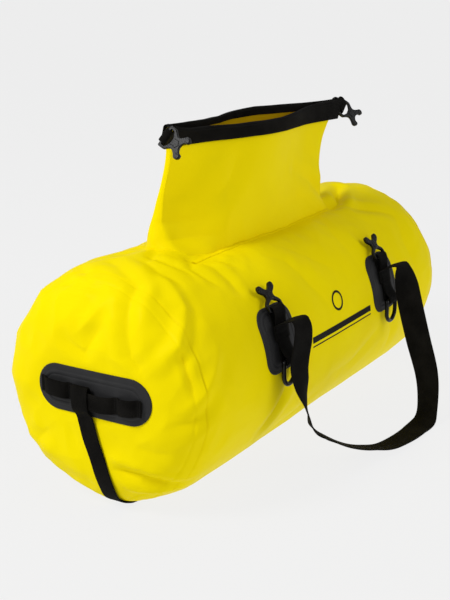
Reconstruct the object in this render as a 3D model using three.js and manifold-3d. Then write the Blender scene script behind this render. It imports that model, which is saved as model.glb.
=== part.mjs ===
// A roll-top dry duffel bag: a welded tarpaulin tube with two end panels, a standing neck with a webbing
// mouth, reinforcement patches with webbing, side-release buckles, D-rings, two carry handles and a strap
// that runs under the bag.
// Millimetres. +X runs along the bag, the front faces -Y, +Z is up, and the bag stands on the plane z = 0.
import * as THREE from "three";
import { mergeVertices } from "three/addons/utils/BufferGeometryUtils.js";
import Module from "manifold-3d";

const wasm = await Module();
wasm.setup();

// ---- driving dimensions ----
const GAP = 0.3; // clearance between touching pieces
const BODY_LENGTH = 808;
const BODY_RADIUS = 161;
const AXIS_HEIGHT = 157.5; // the tube's axis above the floor, so its underside is flattened
const CORNER_LENGTH = 162; // length over which each end rounds off
const CORNER_POWER = 4.6; // how square the rounded end is
const ROUND_SEGMENTS = 36;
const FABRIC = 3; // stand-in thickness of the body's coated fabric
const PANEL_FABRIC = 2.5;
const SEAM_OUTER = 343; // where the end panel's welded rim starts, along the bag
const SEAM_INNER = 359; // where the tube ends under that rim
const FLOOR_WALL = 4.5; // bottom of the bag, above the strap's groove
const SHOULDER_X = 230; // where the profile starts to round off

const NECK_BASE = { left: -237, right: 167, front: -50, back: 28 };
const NECK_MOUTH = { left: -240, right: 245, middle: -20 };
// Where the neck's left and right edges run, at shares of its height from the base to the rim.
const NECK_LEFT_EDGE = [[0, NECK_BASE.left], [0.3, -236], [0.55, -231], [0.75, -229], [1, NECK_MOUTH.left]];
const NECK_RIGHT_EDGE = [
  [0, NECK_BASE.right], [0.2, 150], [0.35, 145], [0.5, 150], [0.68, 169], [0.87, 207], [1, NECK_MOUTH.right],
];
const NECK_LEVELS = 11; // rings of the neck's mesh from the base to the rim
const BAND_SLANT = 0.85; // how far the mouth's right end is cut back for each millimetre down
const BAND_SLANT_START = 185;
const NECK_FOOT_Z = 296;
const NECK_SPLIT_Z = 392;
const RIM_Z = 475;
const RIM_SLOPE = -0.024; // the rim drops a little towards +X
const MOUTH_OPEN = { centre: -5, half: 185, front: 24, back: 42 };
const NECK_FABRIC = 2.5;
const FLAT_MOUTH_HALF = 4; // half thickness of the closed ends of the mouth
const LONG_STEPS = 16;
const SIDE_STEPS = 3;

const BAND_HEIGHT = 26;
const BAND_THICKNESS = 2;
const STIFFENER_HEIGHT = 20;
const STIFFENER_THICKNESS = 1.2;

const END_PATCH = { width: 173, height: 61, thickness: 2.5, y: -12, z: 167 };
const DAISY = { height: 22, thickness: 1.8, rise: 8, z: 163 };
const DAISY_ENDS = [67, -88];
// How far the webbing lies above or below its middle line at each place across the bag.
const DAISY_LIFT = [[-68, 0], [-48, -3], [-30, -4], [-12, -2], [0, 0], [40, 6], [67, 6]];
const DAISY_ARCHES = [[60, 23.5], [18.5, -46], [-54, -80]]; // the raised stretches, from +Y to -Y
const UNDER_STRAP = { width: 25, thickness: 1.6, loopTop: 179, loopFoot: 147 };
// How far to the side the strap's middle lies at each height.
const STRAP_LEAN = [[10, -19], [35, -22], [60, -19], [87, -13], [110, -6], [133, 0], [200, 0]];

const SIDE_ANGLE = 0.29; // patch centres above the tube's horizontal, in radians
const SIDE_X = { left: -186, right: 148 };
const SIDE_PATCH = { width: 84, height: 92, corner: 24, thickness: 2.5 };
const PATCH_WEBBING = { width: 28, thickness: 2, loopRadius: 3.7, topLoop: 38, lowLoop: -30, stand: 7.3 };
const BUCKLE = { length: 40, thickness: 4.5, bar: 4, rail: 3.5 };
const SIDE_BUCKLE_HALF = 18.5;
const MOUTH_BUCKLE_HALF = 15;
const RING = { halfWidth: 19.5, height: 40, section: 4.4 };
const HANDLE = { width: 38, thickness: 2.4, axisY: -181, axisZ: 233, start: 3.6 };

// ---- solids ----
function solidOf(geometry) {
  const bare = geometry.clone();
  bare.deleteAttribute("normal");
  bare.deleteAttribute("uv");
  const merged = mergeVertices(bare, 1e-4);
  return new wasm.Manifold(
    new wasm.Mesh({
      numProp: 3,
      vertProperties: new Float32Array(merged.attributes.position.array),
      triVerts: new Uint32Array(merged.index.array),
    }),
  );
}

function geometryOf(solid) {
  const mesh = solid.getMesh();
  const geometry = new THREE.BufferGeometry();
  const positions = new Float32Array(mesh.vertProperties);
  geometry.setAttribute("position", new THREE.BufferAttribute(positions, 3));
  geometry.setIndex(new THREE.BufferAttribute(new Uint32Array(mesh.triVerts), 1));
  geometry.computeVertexNormals();
  return geometry;
}

function box(low, high) {
  const size = high.map((value, i) => value - low[i]);
  const geometry = new THREE.BoxGeometry(...size);
  geometry.translate(...low.map((value, i) => value + size[i] / 2));
  return solidOf(geometry);
}

// A solid of revolution about the tube's axis, from [x, radius] points that start and end on the axis.
function turned(points) {
  const profile = points.map(([x, radius]) => new THREE.Vector2(radius, x));
  const geometry = new THREE.LatheGeometry(profile, ROUND_SEGMENTS);
  geometry.rotateZ(-Math.PI / 2);
  geometry.translate(0, 0, AXIS_HEIGHT);
  return solidOf(geometry);
}

// A straight prism of a closed outline, from depth 0 up to the given depth.
function prism(shape, depth) {
  return new THREE.ExtrudeGeometry(shape, { depth, bevelEnabled: false, curveSegments: 8 });
}

// A prism that runs along X, from an outline in the Y-Z plane.
function prismAlongX(points, low, high) {
  const shape = new THREE.Shape(points.map(([y, z]) => new THREE.Vector2(y, z)));
  const geometry = prism(shape, high - low);
  geometry.applyMatrix4(new THREE.Matrix4().makeBasis(
    new THREE.Vector3(0, 1, 0), new THREE.Vector3(0, 0, 1), new THREE.Vector3(1, 0, 0)));
  geometry.translate(low, 0, 0);
  return solidOf(geometry);
}

function rod(radius, low, high, y, z, sides = 16) {
  const geometry = new THREE.CylinderGeometry(radius, radius, high - low, sides);
  geometry.rotateZ(Math.PI / 2);
  geometry.translate((low + high) / 2, y, z);
  return solidOf(geometry);
}

// A closed strip of rectangular section through stations: a point and the strip's width direction at each.
function ribbon(stations, width, thickness) {
  const path = new THREE.CatmullRomCurve3(stations.map((s) => new THREE.Vector3(...s.at)));
  const steps = (stations.length - 1) * 2;
  const positions = [];
  for (let i = 0; i <= steps; i += 1) {
    const t = i / steps;
    const place = t * (stations.length - 1);
    const before = Math.min(Math.floor(place), stations.length - 2);
    const across = new THREE.Vector3(...stations[before].across)
      .lerp(new THREE.Vector3(...stations[before + 1].across), place - before);
    const along = path.getTangent(t);
    across.addScaledVector(along, -across.dot(along)).normalize();
    const outward = new THREE.Vector3().crossVectors(along, across);
    const centre = path.getPoint(t);
    for (const [a, b] of [[-1, -1], [1, -1], [1, 1], [-1, 1]]) {
      const corner = centre.clone()
        .addScaledVector(across, (a * width) / 2)
        .addScaledVector(outward, (b * thickness) / 2);
      positions.push(...corner.toArray());
    }
  }
  return closedRings(positions, steps + 1, 4);
}

// Joins rings of points into one closed surface with flat ends.
function closedRings(positions, rings, count) {
  const index = [];
  for (let i = 0; i < rings - 1; i += 1) {
    for (let j = 0; j < count; j += 1) {
      const a = i * count + j;
      const b = i * count + ((j + 1) % count);
      index.push(a, b, b + count, a, b + count, a + count);
    }
  }
  const last = (rings - 1) * count;
  for (let j = 1; j < count - 1; j += 1) {
    index.push(0, j + 1, j, last, last + j, last + j + 1);
  }
  const geometry = new THREE.BufferGeometry();
  geometry.setAttribute("position", new THREE.BufferAttribute(new Float32Array(positions), 3));
  geometry.setIndex(index);
  return solidOf(geometry);
}

// ---- tube and end panels ----
function endRadius(x, offset = 0) {
  const reach = CORNER_LENGTH + offset;
  const along = Math.max(0, Math.abs(x) - (BODY_LENGTH / 2 - CORNER_LENGTH)) / reach;
  if (along >= 1) return 0;
  return (BODY_RADIUS + offset) * (1 - along ** CORNER_POWER) ** (1 / CORNER_POWER);
}

// Stations along one rounded end, closer together where it turns in.
function endStations(offset, from) {
  const stations = [from];
  for (const share of [0.4, 0.62, 0.76, 0.86, 0.92, 0.96, 0.985, 0.997]) {
    const x = BODY_LENGTH / 2 - CORNER_LENGTH + share * (CORNER_LENGTH + offset);
    if (x > from + 4) stations.push(x);
  }
  return stations;
}

function bodyProfile(offset, to) {
  const xs = [...endStations(offset, SHOULDER_X).filter((x) => x < to - 4), to];
  const right = xs.map((x) => [x, endRadius(x, offset)]);
  const left = right.map(([x, r]) => [-x, r]).reverse();
  return [[-to, 0], ...left, ...right, [to, 0]];
}

// The whole bag's outer surface, pushed out by an offset.
function bagEnvelope(offset) {
  const xs = endStations(offset, SHOULDER_X);
  const right = xs.map((x) => [x, endRadius(x, offset)]);
  const tip = BODY_LENGTH / 2 + offset;
  const left = right.map(([x, r]) => [-x, r]).reverse();
  return turned([[-tip, 0], ...left, ...right, [tip, 0]]);
}

const HUGE = 1000;
const INSIDE_HALF_LENGTH = 385;

// The room for the strap in the bag's underside, out to a distance along X.
function strapGroove(reach) {
  const [, middle] = STRAP_LEAN[0];
  const half = UNDER_STRAP.width / 2 + 2 * GAP;
  return box([-reach, middle - half, -HUGE], [reach, middle + half, UNDER_STRAP.thickness + 2 * GAP]);
}

function bodyTube() {
  const seam = [
    [SEAM_OUTER, endRadius(SEAM_OUTER)],
    [SEAM_OUTER, endRadius(SEAM_OUTER, -PANEL_FABRIC) - 2 * GAP],
    [SEAM_INNER, endRadius(SEAM_INNER, -PANEL_FABRIC) - 2 * GAP],
  ];
  const middle = endStations(0, SHOULDER_X).filter((x) => x < SEAM_OUTER - 4).map((x) => [x, endRadius(x)]);
  const right = [...middle, ...seam];
  const left = right.map(([x, r]) => [-x, r]).reverse();
  const outer = turned([[-SEAM_INNER, 0], ...left, ...right, [SEAM_INNER, 0]])
    .intersect(box([-HUGE, -HUGE, 0], [HUGE, HUGE, HUGE]));
  const inner = turned(bodyProfile(-(PANEL_FABRIC + GAP + FABRIC), INSIDE_HALF_LENGTH))
    .intersect(box([-HUGE, -HUGE, FLOOR_WALL], [HUGE, HUGE, HUGE]));
  const slot = box(
    [NECK_BASE.left + 5, NECK_BASE.front + 5, AXIS_HEIGHT + 60],
    [NECK_BASE.right - 5, NECK_BASE.back - 5, HUGE]);
  return outer.subtract(inner).subtract(slot).subtract(strapGroove(HUGE));
}

function endPanel(side) {
  const outer = bagEnvelope(0);
  const inner = bagEnvelope(-PANEL_FABRIC);
  const start = SEAM_OUTER + GAP;
  const keep = side < 0
    ? box([-HUGE, -HUGE, 0], [-start, HUGE, HUGE])
    : box([start, -HUGE, 0], [HUGE, HUGE, HUGE]);
  return outer.subtract(inner).intersect(keep).subtract(strapGroove(SEAM_INNER));
}

// ---- neck ----
function mouthBump(x) {
  const reach = (x - MOUTH_OPEN.centre) / MOUTH_OPEN.half;
  return Math.abs(reach) >= 1 ? 0 : Math.cos((reach * Math.PI) / 2) ** 2;
}

function rimHeight(x) {
  return RIM_Z + RIM_SLOPE * x;
}

function mix(a, b, share) {
  return a + (b - a) * share;
}

// The value of a table of [place, value] rows at a place, on straight lines between its rows.
function alongTable(rows, place) {
  for (let i = 1; i < rows.length; i += 1) {
    const [low, lowValue] = rows[i - 1];
    const [high, highValue] = rows[i];
    if (place <= high) return mix(lowValue, highValue, Math.max(0, (place - low) / (high - low)));
  }
  return rows[rows.length - 1][1];
}

// One closed outline of the neck at a share of its height, 0 at the base and 1 at the rim, set in by inset.
function neckOutline(share, inset) {
  const left = alongTable(NECK_LEFT_EDGE, share) + inset;
  const right = alongTable(NECK_RIGHT_EDGE, share) - inset;
  const points = [];
  const side = (front, u) => {
    const baseY = front ? NECK_BASE.front + inset : NECK_BASE.back - inset;
    const rimX = mix(NECK_MOUTH.left, NECK_MOUTH.right, u);
    const reach = front ? -MOUTH_OPEN.front : MOUTH_OPEN.back;
    const flat = (front ? -1 : 1) * (FLAT_MOUTH_HALF - inset);
    return mix(baseY, NECK_MOUTH.middle + flat + reach * mouthBump(rimX), share);
  };
  for (let i = 0; i <= LONG_STEPS; i += 1) {
    const u = i / LONG_STEPS;
    points.push([mix(left, right, u), side(true, u)]);
  }
  for (let i = 1; i < SIDE_STEPS; i += 1) {
    points.push([right, mix(side(true, 1), side(false, 1), i / SIDE_STEPS)]);
  }
  for (let i = LONG_STEPS; i >= 0; i -= 1) {
    const u = i / LONG_STEPS;
    points.push([mix(left, right, u), side(false, u)]);
  }
  for (let i = SIDE_STEPS - 1; i > 0; i -= 1) {
    points.push([left, mix(side(true, 0), side(false, 0), i / SIDE_STEPS)]);
  }
  return points;
}

function neckLoft(low, high, inset, lowExtra = 0, highExtra = 0) {
  const rings = NECK_LEVELS;
  const positions = [];
  let count = 0;
  for (let k = 0; k < rings; k += 1) {
    const share = mix(low, high, k / (rings - 1));
    const outline = neckOutline(share, inset);
    count = outline.length;
    const extra = (k === 0 ? lowExtra : 0) + (k === rings - 1 ? highExtra : 0);
    for (const [x, y] of outline) {
      positions.push(x, y, mix(NECK_FOOT_Z, rimHeight(x), share) + extra);
    }
  }
  return closedStar(positions, rings, count);
}

// Joins rings of points into one closed surface whose flat ends fan out between opposite points.
function closedStar(positions, rings, count) {
  const index = [];
  for (let i = 0; i < rings - 1; i += 1) {
    for (let j = 0; j < count; j += 1) {
      const a = i * count + j;
      const b = i * count + ((j + 1) % count);
      index.push(a, b, b + count, a, b + count, a + count);
    }
  }
  const last = (rings - 1) * count;
  const cap = (start, flip) => {
    const opposite = (i) => start + 2 * LONG_STEPS + SIDE_STEPS - i;
    const add = (a, b, c) => (flip ? index.push(a, c, b) : index.push(a, b, c));
    for (let i = 0; i < LONG_STEPS; i += 1) {
      add(start + i, start + i + 1, opposite(i + 1));
      add(start + i, opposite(i + 1), opposite(i));
    }
    for (let i = 1; i < SIDE_STEPS; i += 1) {
      add(start + LONG_STEPS, start + LONG_STEPS + i, start + LONG_STEPS + i + 1);
      const from = start + 2 * LONG_STEPS + SIDE_STEPS;
      add(start, from + i - 1, from + i);
    }
  };
  cap(0, true);
  cap(last, false);
  const geometry = new THREE.BufferGeometry();
  geometry.setAttribute("position", new THREE.BufferAttribute(new Float32Array(positions), 3));
  geometry.setIndex(index);
  return solidOf(geometry);
}

const SPLIT_SHARE = (NECK_SPLIT_Z - NECK_FOOT_Z) / (RIM_Z - NECK_FOOT_Z);

function neckWall() {
  return neckLoft(0, 1, 0).subtract(neckLoft(0, 1, NECK_FABRIC, -5, 5));
}

function neckLower() {
  return neckWall()
    .intersect(box([-HUGE, -HUGE, 0], [HUGE, HUGE, NECK_SPLIT_Z - GAP / 2]))
    .subtract(bagEnvelope(GAP));
}

function neckUpper() {
  return neckWall().intersect(box([-HUGE, -HUGE, NECK_SPLIT_Z + GAP / 2], [HUGE, HUGE, HUGE]));
}

// A strip that follows the front or back of the mouth, between two distances out from the neck's wall.
function mouthStrip(front, near, far, top, height) {
  const steps = LONG_STEPS * 3;
  const sign = front ? -1 : 1;
  const reach = front ? MOUTH_OPEN.front : MOUTH_OPEN.back;
  const positions = [];
  const wallY = (x, z) => {
    const share = (z - NECK_FOOT_Z) / (rimHeight(x) - NECK_FOOT_Z);
    const left = alongTable(NECK_LEFT_EDGE, share);
    const right = alongTable(NECK_RIGHT_EDGE, share);
    const rimX = mix(NECK_MOUTH.left, NECK_MOUTH.right, Math.min(1, (x - left) / (right - left)));
    const baseY = front ? NECK_BASE.front : NECK_BASE.back;
    const rimY = NECK_MOUTH.middle + sign * (FLAT_MOUTH_HALF + reach * mouthBump(rimX));
    return mix(baseY, rimY, share);
  };
  for (let i = 0; i <= steps; i += 1) {
    const x = mix(NECK_MOUTH.left + 1, NECK_MOUTH.right - 1, i / steps);
    const high = rimHeight(x) - top;
    const low = high - height;
    const slant = BAND_SLANT * Math.max(0, (x - BAND_SLANT_START) / (NECK_MOUTH.right - BAND_SLANT_START));
    const lowX = x - slant * (top + height);
    const highX = x - slant * top;
    const ring = [
      [lowX, wallY(lowX, low) + sign * near, low],
      [lowX, wallY(lowX, low) + sign * far, low],
      [highX, wallY(highX, high) + sign * far, high],
      [highX, wallY(highX, high) + sign * near, high],
    ];
    if (front) ring.reverse();
    for (const point of ring) positions.push(...point);
  }
  return closedRings(positions, steps + 1, 4);
}

const STIFFENER_STAND = 2; // clear of the neck's wall where it curves
const BAND_STAND = STIFFENER_STAND + STIFFENER_THICKNESS + 3 * GAP;

function mouthBand(front) {
  return mouthStrip(front, BAND_STAND, BAND_STAND + BAND_THICKNESS, 0, BAND_HEIGHT);
}

function mouthStiffener(front) {
  return mouthStrip(front, STIFFENER_STAND, STIFFENER_STAND + STIFFENER_THICKNESS, 3, STIFFENER_HEIGHT);
}

// ---- buckles, tabs and rings ----
// The male half of a side-release buckle, flat in X-Y: its bar along X at the origin, its arms towards +Y.
function buckle(w) {
  const { length, thickness, bar, rail } = BUCKLE;
  const half = bar / 2;
  const rightSide = [
    [w, -half], [w, 8.5], [w - 4, 12], [7, 16.5], [6, 19], [8, 22.5], [w - 3, 26], [w + 1, 30], [w + 1, 34.5],
    [w - 2.5, length - half], [w - 7, length - 3.5], [6.5, 31.5], [2, 27.5],
  ];
  const leftSide = rightSide.map(([x, y]) => [-x, y]).reverse();
  const shape = new THREE.Shape([...rightSide, ...leftSide].map(([x, y]) => new THREE.Vector2(x, y)));
  const slot = w - rail;
  const opening = [[-slot, half], [-slot, 8], [-4, 13], [4, 13], [slot, 8], [slot, half]];
  shape.holes.push(new THREE.Path(opening.map(([x, y]) => new THREE.Vector2(x, y))));
  const geometry = prism(shape, thickness);
  geometry.translate(0, 0, -thickness / 2);
  return solidOf(geometry);
}

// A D-ring in X-Z: its straight bar along X at the origin and its bow hanging towards -Z.
function dRing() {
  const { halfWidth: w, height, section } = RING;
  const half = section / 2;
  const outer = new THREE.Shape();
  const straight = height - w;
  outer.moveTo(-w, half);
  outer.lineTo(-w, -straight + half);
  outer.absarc(0, -straight + half, w, Math.PI, 2 * Math.PI, false);
  outer.lineTo(w, half);
  outer.lineTo(-w, half);
  const inner = new THREE.Path();
  const r = w - section;
  inner.moveTo(-r, -half);
  inner.lineTo(r, -half);
  inner.lineTo(r, -straight + half);
  inner.absarc(0, -straight + half, r, 0, Math.PI, true);
  inner.lineTo(-r, -half);
  outer.holes.push(inner);
  const geometry = prism(outer, section);
  geometry.translate(0, 0, -section / 2);
  geometry.rotateX(Math.PI / 2);
  return solidOf(geometry);
}

// A mouth buckle's place: its bar's centre, the bar's direction and the direction its arms point.
const MOUTH_BUCKLES = {
  left: { at: [-264, -31, 471], bar: [-0.4, 0.45, -0.8], arms: [-0.19, -0.89, -0.41] },
  right: { at: [255, -24, 456], bar: [-0.7, 0, -0.7], arms: [0.56, -0.61, -0.56] },
};

function basisOf({ at, bar, arms }) {
  const x = new THREE.Vector3(...bar).normalize();
  const y = new THREE.Vector3(...arms);
  y.addScaledVector(x, -y.dot(x)).normalize();
  const z = new THREE.Vector3().crossVectors(x, y);
  return new THREE.Matrix4().makeBasis(x, y, z).setPosition(...at);
}

const LOOP_WALL = 2;

function mouthTab(side) {
  const place = MOUTH_BUCKLES[side];
  const frame = basisOf(place);
  const sign = side === "left" ? -1 : 1;
  const half = 9.5;
  const turn = (radius, reach) => {
    const geometry = new THREE.CylinderGeometry(radius, radius, 2 * reach, 14);
    geometry.rotateZ(Math.PI / 2);
    geometry.applyMatrix4(frame);
    return solidOf(geometry);
  };
  const near = NECK_MOUTH[side] + sign * 2 * GAP;
  const [x, y, z] = place.at;
  const low = [Math.min(near, x - sign * 2), y + 1, z - 8];
  const high = [Math.max(near, x - sign * 2), y + 9, z + 8];
  const { loopRadius } = PATCH_WEBBING;
  return turn(loopRadius + LOOP_WALL, half).add(box(low, high)).subtract(turn(loopRadius, 40));
}

// ---- end patches, their webbing and the strap under the bag ----
function stadium(width, height) {
  const r = height / 2;
  const shape = new THREE.Shape();
  shape.moveTo(-width / 2 + r, -r);
  shape.lineTo(width / 2 - r, -r);
  shape.absarc(width / 2 - r, 0, r, -Math.PI / 2, Math.PI / 2, false);
  shape.lineTo(-width / 2 + r, r);
  shape.absarc(-width / 2 + r, 0, r, Math.PI / 2, (3 * Math.PI) / 2, false);
  return shape;
}

// Built on the -X end.
function endPatch() {
  const { width, height, thickness, y, z } = END_PATCH;
  const geometry = prism(stadium(width, height), 60);
  geometry.applyMatrix4(new THREE.Matrix4().makeBasis(
    new THREE.Vector3(0, -1, 0), new THREE.Vector3(0, 0, 1), new THREE.Vector3(-1, 0, 0)));
  geometry.translate(-BODY_LENGTH / 2 + 40, y, z);
  return bagEnvelope(GAP + thickness).subtract(bagEnvelope(GAP)).intersect(solidOf(geometry));
}

const DAISY_FACE = BODY_LENGTH / 2 + END_PATCH.thickness + 2 * GAP;

function daisyRise(y) {
  for (const [from, to] of DAISY_ARCHES) {
    if (y <= from && y >= to) {
      const share = (from - y) / (from - to);
      return DAISY.rise * Math.sin(Math.PI * Math.min(1, Math.max(0, share))) ** 0.35;
    }
  }
  return 0;
}

function endWebbing() {
  const ys = [DAISY_ENDS[0]];
  for (const [from, to] of DAISY_ARCHES) {
    for (let i = 0; i <= 8; i += 1) ys.push(mix(from, to, i / 8));
  }
  ys.push(DAISY_ENDS[1]);
  const outer = ys.map((y) => [-(DAISY_FACE + DAISY.thickness + daisyRise(y)), y]);
  const inner = ys.map((y) => [-(DAISY_FACE + daisyRise(y)), y]).reverse();
  const shape = new THREE.Shape([...outer, ...inner].map(([x, y]) => new THREE.Vector2(x, y)));
  const geometry = prism(shape, DAISY.height);
  geometry.translate(0, 0, DAISY.z - DAISY.height / 2);
  const places = geometry.attributes.position;
  for (let i = 0; i < places.count; i += 1) {
    places.setZ(i, places.getZ(i) + alongTable(DAISY_LIFT, places.getY(i)));
  }
  return solidOf(geometry);
}

// A closed outline round a line of points, between the line and a copy pushed to its right-hand side.
function thickLine(points, thickness) {
  const pushed = points.map((point, i) => {
    const before = points[Math.max(0, i - 1)];
    const after = points[Math.min(points.length - 1, i + 1)];
    const along = new THREE.Vector2(after[0] - before[0], after[1] - before[1]).normalize();
    return [point[0] + along.y * thickness, point[1] - along.x * thickness];
  });
  return [...points, ...pushed.reverse()];
}

// A prism across the bag from an outline in the X-Z plane and an optional hole, leaning as the strap does.
function prismAcross(outline, hole, width) {
  const points = (list) => list.map(([x, z]) => new THREE.Vector2(x, z));
  const outer = points(outline);
  if (THREE.ShapeUtils.isClockWise(outer)) outer.reverse();
  const shape = new THREE.Shape(outer);
  if (hole) shape.holes.push(new THREE.Path(points(hole)));
  const geometry = prism(shape, width);
  geometry.rotateX(Math.PI / 2);
  geometry.translate(0, width / 2, 0);
  const places = geometry.attributes.position;
  for (let i = 0; i < places.count; i += 1) {
    places.setY(i, places.getY(i) + alongTable(STRAP_LEAN, places.getZ(i)));
  }
  return solidOf(geometry);
}

function faceAtHeight(z) {
  const share = (1 - ((AXIS_HEIGHT - z) / BODY_RADIUS) ** CORNER_POWER) ** (1 / CORNER_POWER);
  return BODY_LENGTH / 2 - CORNER_LENGTH + share * CORNER_LENGTH;
}

// The strap goes round each end patch's middle arch, down both ends and flat under the bag.
function underStrap() {
  const { width, thickness, loopTop, loopFoot } = UNDER_STRAP;
  const nearX = DAISY_FACE + 1.4;
  const farX = DAISY_FACE + DAISY.rise + DAISY.thickness + 0.6;
  const down = [130, 105, 80, 55, 35, 20, 10].map((z) => [faceAtHeight(z) + (z > 100 ? 3.1 : 1.4), z]);
  const halfRoute = [[nearX, loopFoot + 2], ...down, [358, 3], [350, 2.1], [335, GAP + thickness]];
  const otherHalf = halfRoute.map(([x, z]) => [-x, z]).reverse();
  const band = thickLine([...halfRoute, ...otherHalf].reverse(), thickness);
  let strap = prismAcross(band, null, width);
  for (const side of [-1, 1]) {
    const corners = (near, far, foot, top) => [[near, foot], [far, foot], [far, top], [near, top]]
      .map(([x, z]) => [side * x, z]);
    const frame = corners(nearX, farX + thickness, loopFoot, loopTop);
    const hole = corners(nearX + thickness, farX, loopFoot + thickness, loopTop - thickness);
    if (THREE.ShapeUtils.isClockWise(hole.map(([x, z]) => new THREE.Vector2(x, z)))) hole.reverse();
    strap = strap.add(prismAcross(frame, hole, width));
  }
  return strap;
}

// ---- side patches and their webbing, built on the front ----
// A point on the front at a distance up the patch from its centre and a distance out from the patch's face.
function onFront(up, out) {
  const face = BODY_RADIUS + GAP + SIDE_PATCH.thickness;
  const angle = SIDE_ANGLE + up / face;
  const radius = face + out;
  return [-radius * Math.cos(angle), AXIS_HEIGHT + radius * Math.sin(angle)];
}

function sidePatch(x) {
  const { width, height, corner, thickness } = SIDE_PATCH;
  const shape = new THREE.Shape();
  const w = width / 2 - corner;
  const h = height / 2 - corner;
  shape.absarc(w, -h, corner, -Math.PI / 2, 0, false);
  shape.absarc(w, h, corner, 0, Math.PI / 2, false);
  shape.absarc(-w, h, corner, Math.PI / 2, Math.PI, false);
  shape.absarc(-w, -h, corner, Math.PI, 1.5 * Math.PI, false);
  const geometry = prism(shape, 60);
  geometry.rotateX(Math.PI / 2 - SIDE_ANGLE);
  const reach = BODY_RADIUS - 30;
  geometry.translate(x, -reach * Math.cos(SIDE_ANGLE), AXIS_HEIGHT + reach * Math.sin(SIDE_ANGLE));
  const shell = bagEnvelope(GAP + thickness).subtract(bagEnvelope(GAP));
  return shell.intersect(solidOf(geometry));
}

function patchWebbing(x) {
  const { width, thickness, loopRadius, topLoop, lowLoop, stand } = PATCH_WEBBING;
  const low = x - width / 2;
  const high = x + width / 2;
  const ups = [];
  for (let i = 0; i <= 8; i += 1) ups.push(mix(lowLoop, topLoop, i / 8));
  const outerLine = ups.map((up) => onFront(up, GAP + thickness));
  const innerLine = ups.map((up) => onFront(up, GAP)).reverse();
  let solid = prismAlongX([...outerLine, ...innerLine], low, high).add(handleTail(x));
  for (const up of [topLoop, lowLoop]) {
    solid = solid.add(rod(loopRadius + LOOP_WALL, low, high, ...onFront(up, stand)));
  }
  for (const up of [topLoop, lowLoop]) {
    solid = solid.subtract(rod(loopRadius, low - 20, high + 20, ...onFront(up, stand)));
  }
  return solid;
}

// The sewn end of a handle: it stands out from the patch webbing and ends where the handle starts to swing.
function handleTail(x) {
  const t = HANDLE.thickness;
  const { axisY, axisZ } = HANDLE;
  const foot = onFront(4, 1);
  const knee = onFront(17, 3.4);
  const under = [foot, onFront(4, 1 + t), [knee[0] - t, knee[1]], [axisY, axisZ - t / 2]];
  const over = [[axisY, axisZ + t / 2], [knee[0] + 0.4, knee[1] + t + 1.4], onFront(20, 1)];
  const outline = [...under, ...over];
  return prismAlongX(outline.reverse(), x - HANDLE.width / 2 + 2, x + HANDLE.width / 2 - 2);
}

// ---- handles ----
function handle() {
  const { width, thickness, axisY, axisZ, start } = HANDLE;
  const { left, right } = SIDE_X;
  const stations = [
    { at: [left, axisY - start, axisZ], across: [1, 0, 0] },
    { at: [left - 1, axisY - 9.5, axisZ - 5], across: [1, 0, 0] },
    { at: [left - 4, axisY - 13, axisZ - 22], across: [1, 0.05, 0] },
    { at: [left - 6, axisY - 12.5, 178], across: [1, 0.1, 0] },
    { at: [left - 2, axisY - 12.5, 145], across: [0.95, 0.3, 0] },
    { at: [left + 2, axisY - 13.5, 122], across: [0.85, 0.5, 0.1] },
    { at: [left + 5, axisY - 15, 104], across: [0.72, 0.66, 0.2] },
    { at: [left + 13, axisY - 18, 82], across: [0.5, 0.85, 0.15] },
    { at: [-158, -203, 67], across: [0.3, 0.95, 0.07] },
    { at: [-134, -208, 51], across: [0.25, 0.97, 0.02] },
    { at: [-107, -214, 35], across: [0.25, 0.965, -0.05] },
    { at: [-80, -221, 22], across: [0.25, 0.96, -0.15] },
    { at: [-54, -229, 13], across: [0.32, 0.92, -0.2] },
    { at: [-26, -242, 7], across: [0.4, 0.9, -0.16] },
    { at: [16, -249, 4], across: [0.4, 0.92, -0.1] },
    { at: [60, -252, 3], across: [0.4, 0.92, -0.05] },
    { at: [104, -254, 5.5], across: [0.4, 0.92, 0.05] },
    { at: [122, -252, 30], across: [0.35, 0.93, -0.1] },
    { at: [134, -246, 70], across: [0.3, 0.93, -0.2] },
    { at: [146, -232, 120], across: [0.3, 0.93, -0.25] },
    { at: [155, -217, 170], across: [0.4, 0.85, -0.3] },
    { at: [157, -208, 200], across: [0.7, 0.6, -0.3] },
    { at: [152, -199, 222], across: [0.95, 0.2, -0.1] },
    { at: [right, axisY - 9, axisZ - 3], across: [1, 0, 0] },
    { at: [right, axisY - start, axisZ], across: [1, 0, 0] },
  ];
  return ribbon(stations, width, thickness);
}

// ---- materials ----
const YELLOW = 0xf2dc00;
const YELLOW_NECK = 0xdcc600;
const BLACK_WEBBING = 0x141210;
const BLACK_PATCH = 0x2d2d2f;
const BLACK_PLASTIC = 0x1b1b1d;
const GREY_PLASTIC = 0x8d8d88;

function finish(color, roughness, metalness = 0) {
  return new THREE.MeshStandardMaterial({ color, roughness, metalness });
}

const tarpaulin = () => finish(YELLOW, 0.45);
const neckTarpaulin = () => finish(YELLOW_NECK, 0.45);
const webbing = () => finish(BLACK_WEBBING, 0.85);
const patchRubber = () => finish(BLACK_PATCH, 0.6);
const plastic = () => finish(BLACK_PLASTIC, 0.35);
const stripPlastic = () => finish(GREY_PLASTIC, 0.5);

// ---- assembly ----
const bag = new THREE.Group();

function place(parent, name, solid, material) {
  const mesh = new THREE.Mesh(geometryOf(solid), material);
  mesh.name = name;
  parent.add(mesh);
  return mesh;
}

place(bag, "body_tube", bodyTube(), tarpaulin());
place(bag, "end_panel_left", endPanel(-1), tarpaulin());
place(bag, "end_panel_right", endPanel(1), tarpaulin());
place(bag, "neck_lower", neckLower(), neckTarpaulin());
place(bag, "neck_upper", neckUpper(), neckTarpaulin());

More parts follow.
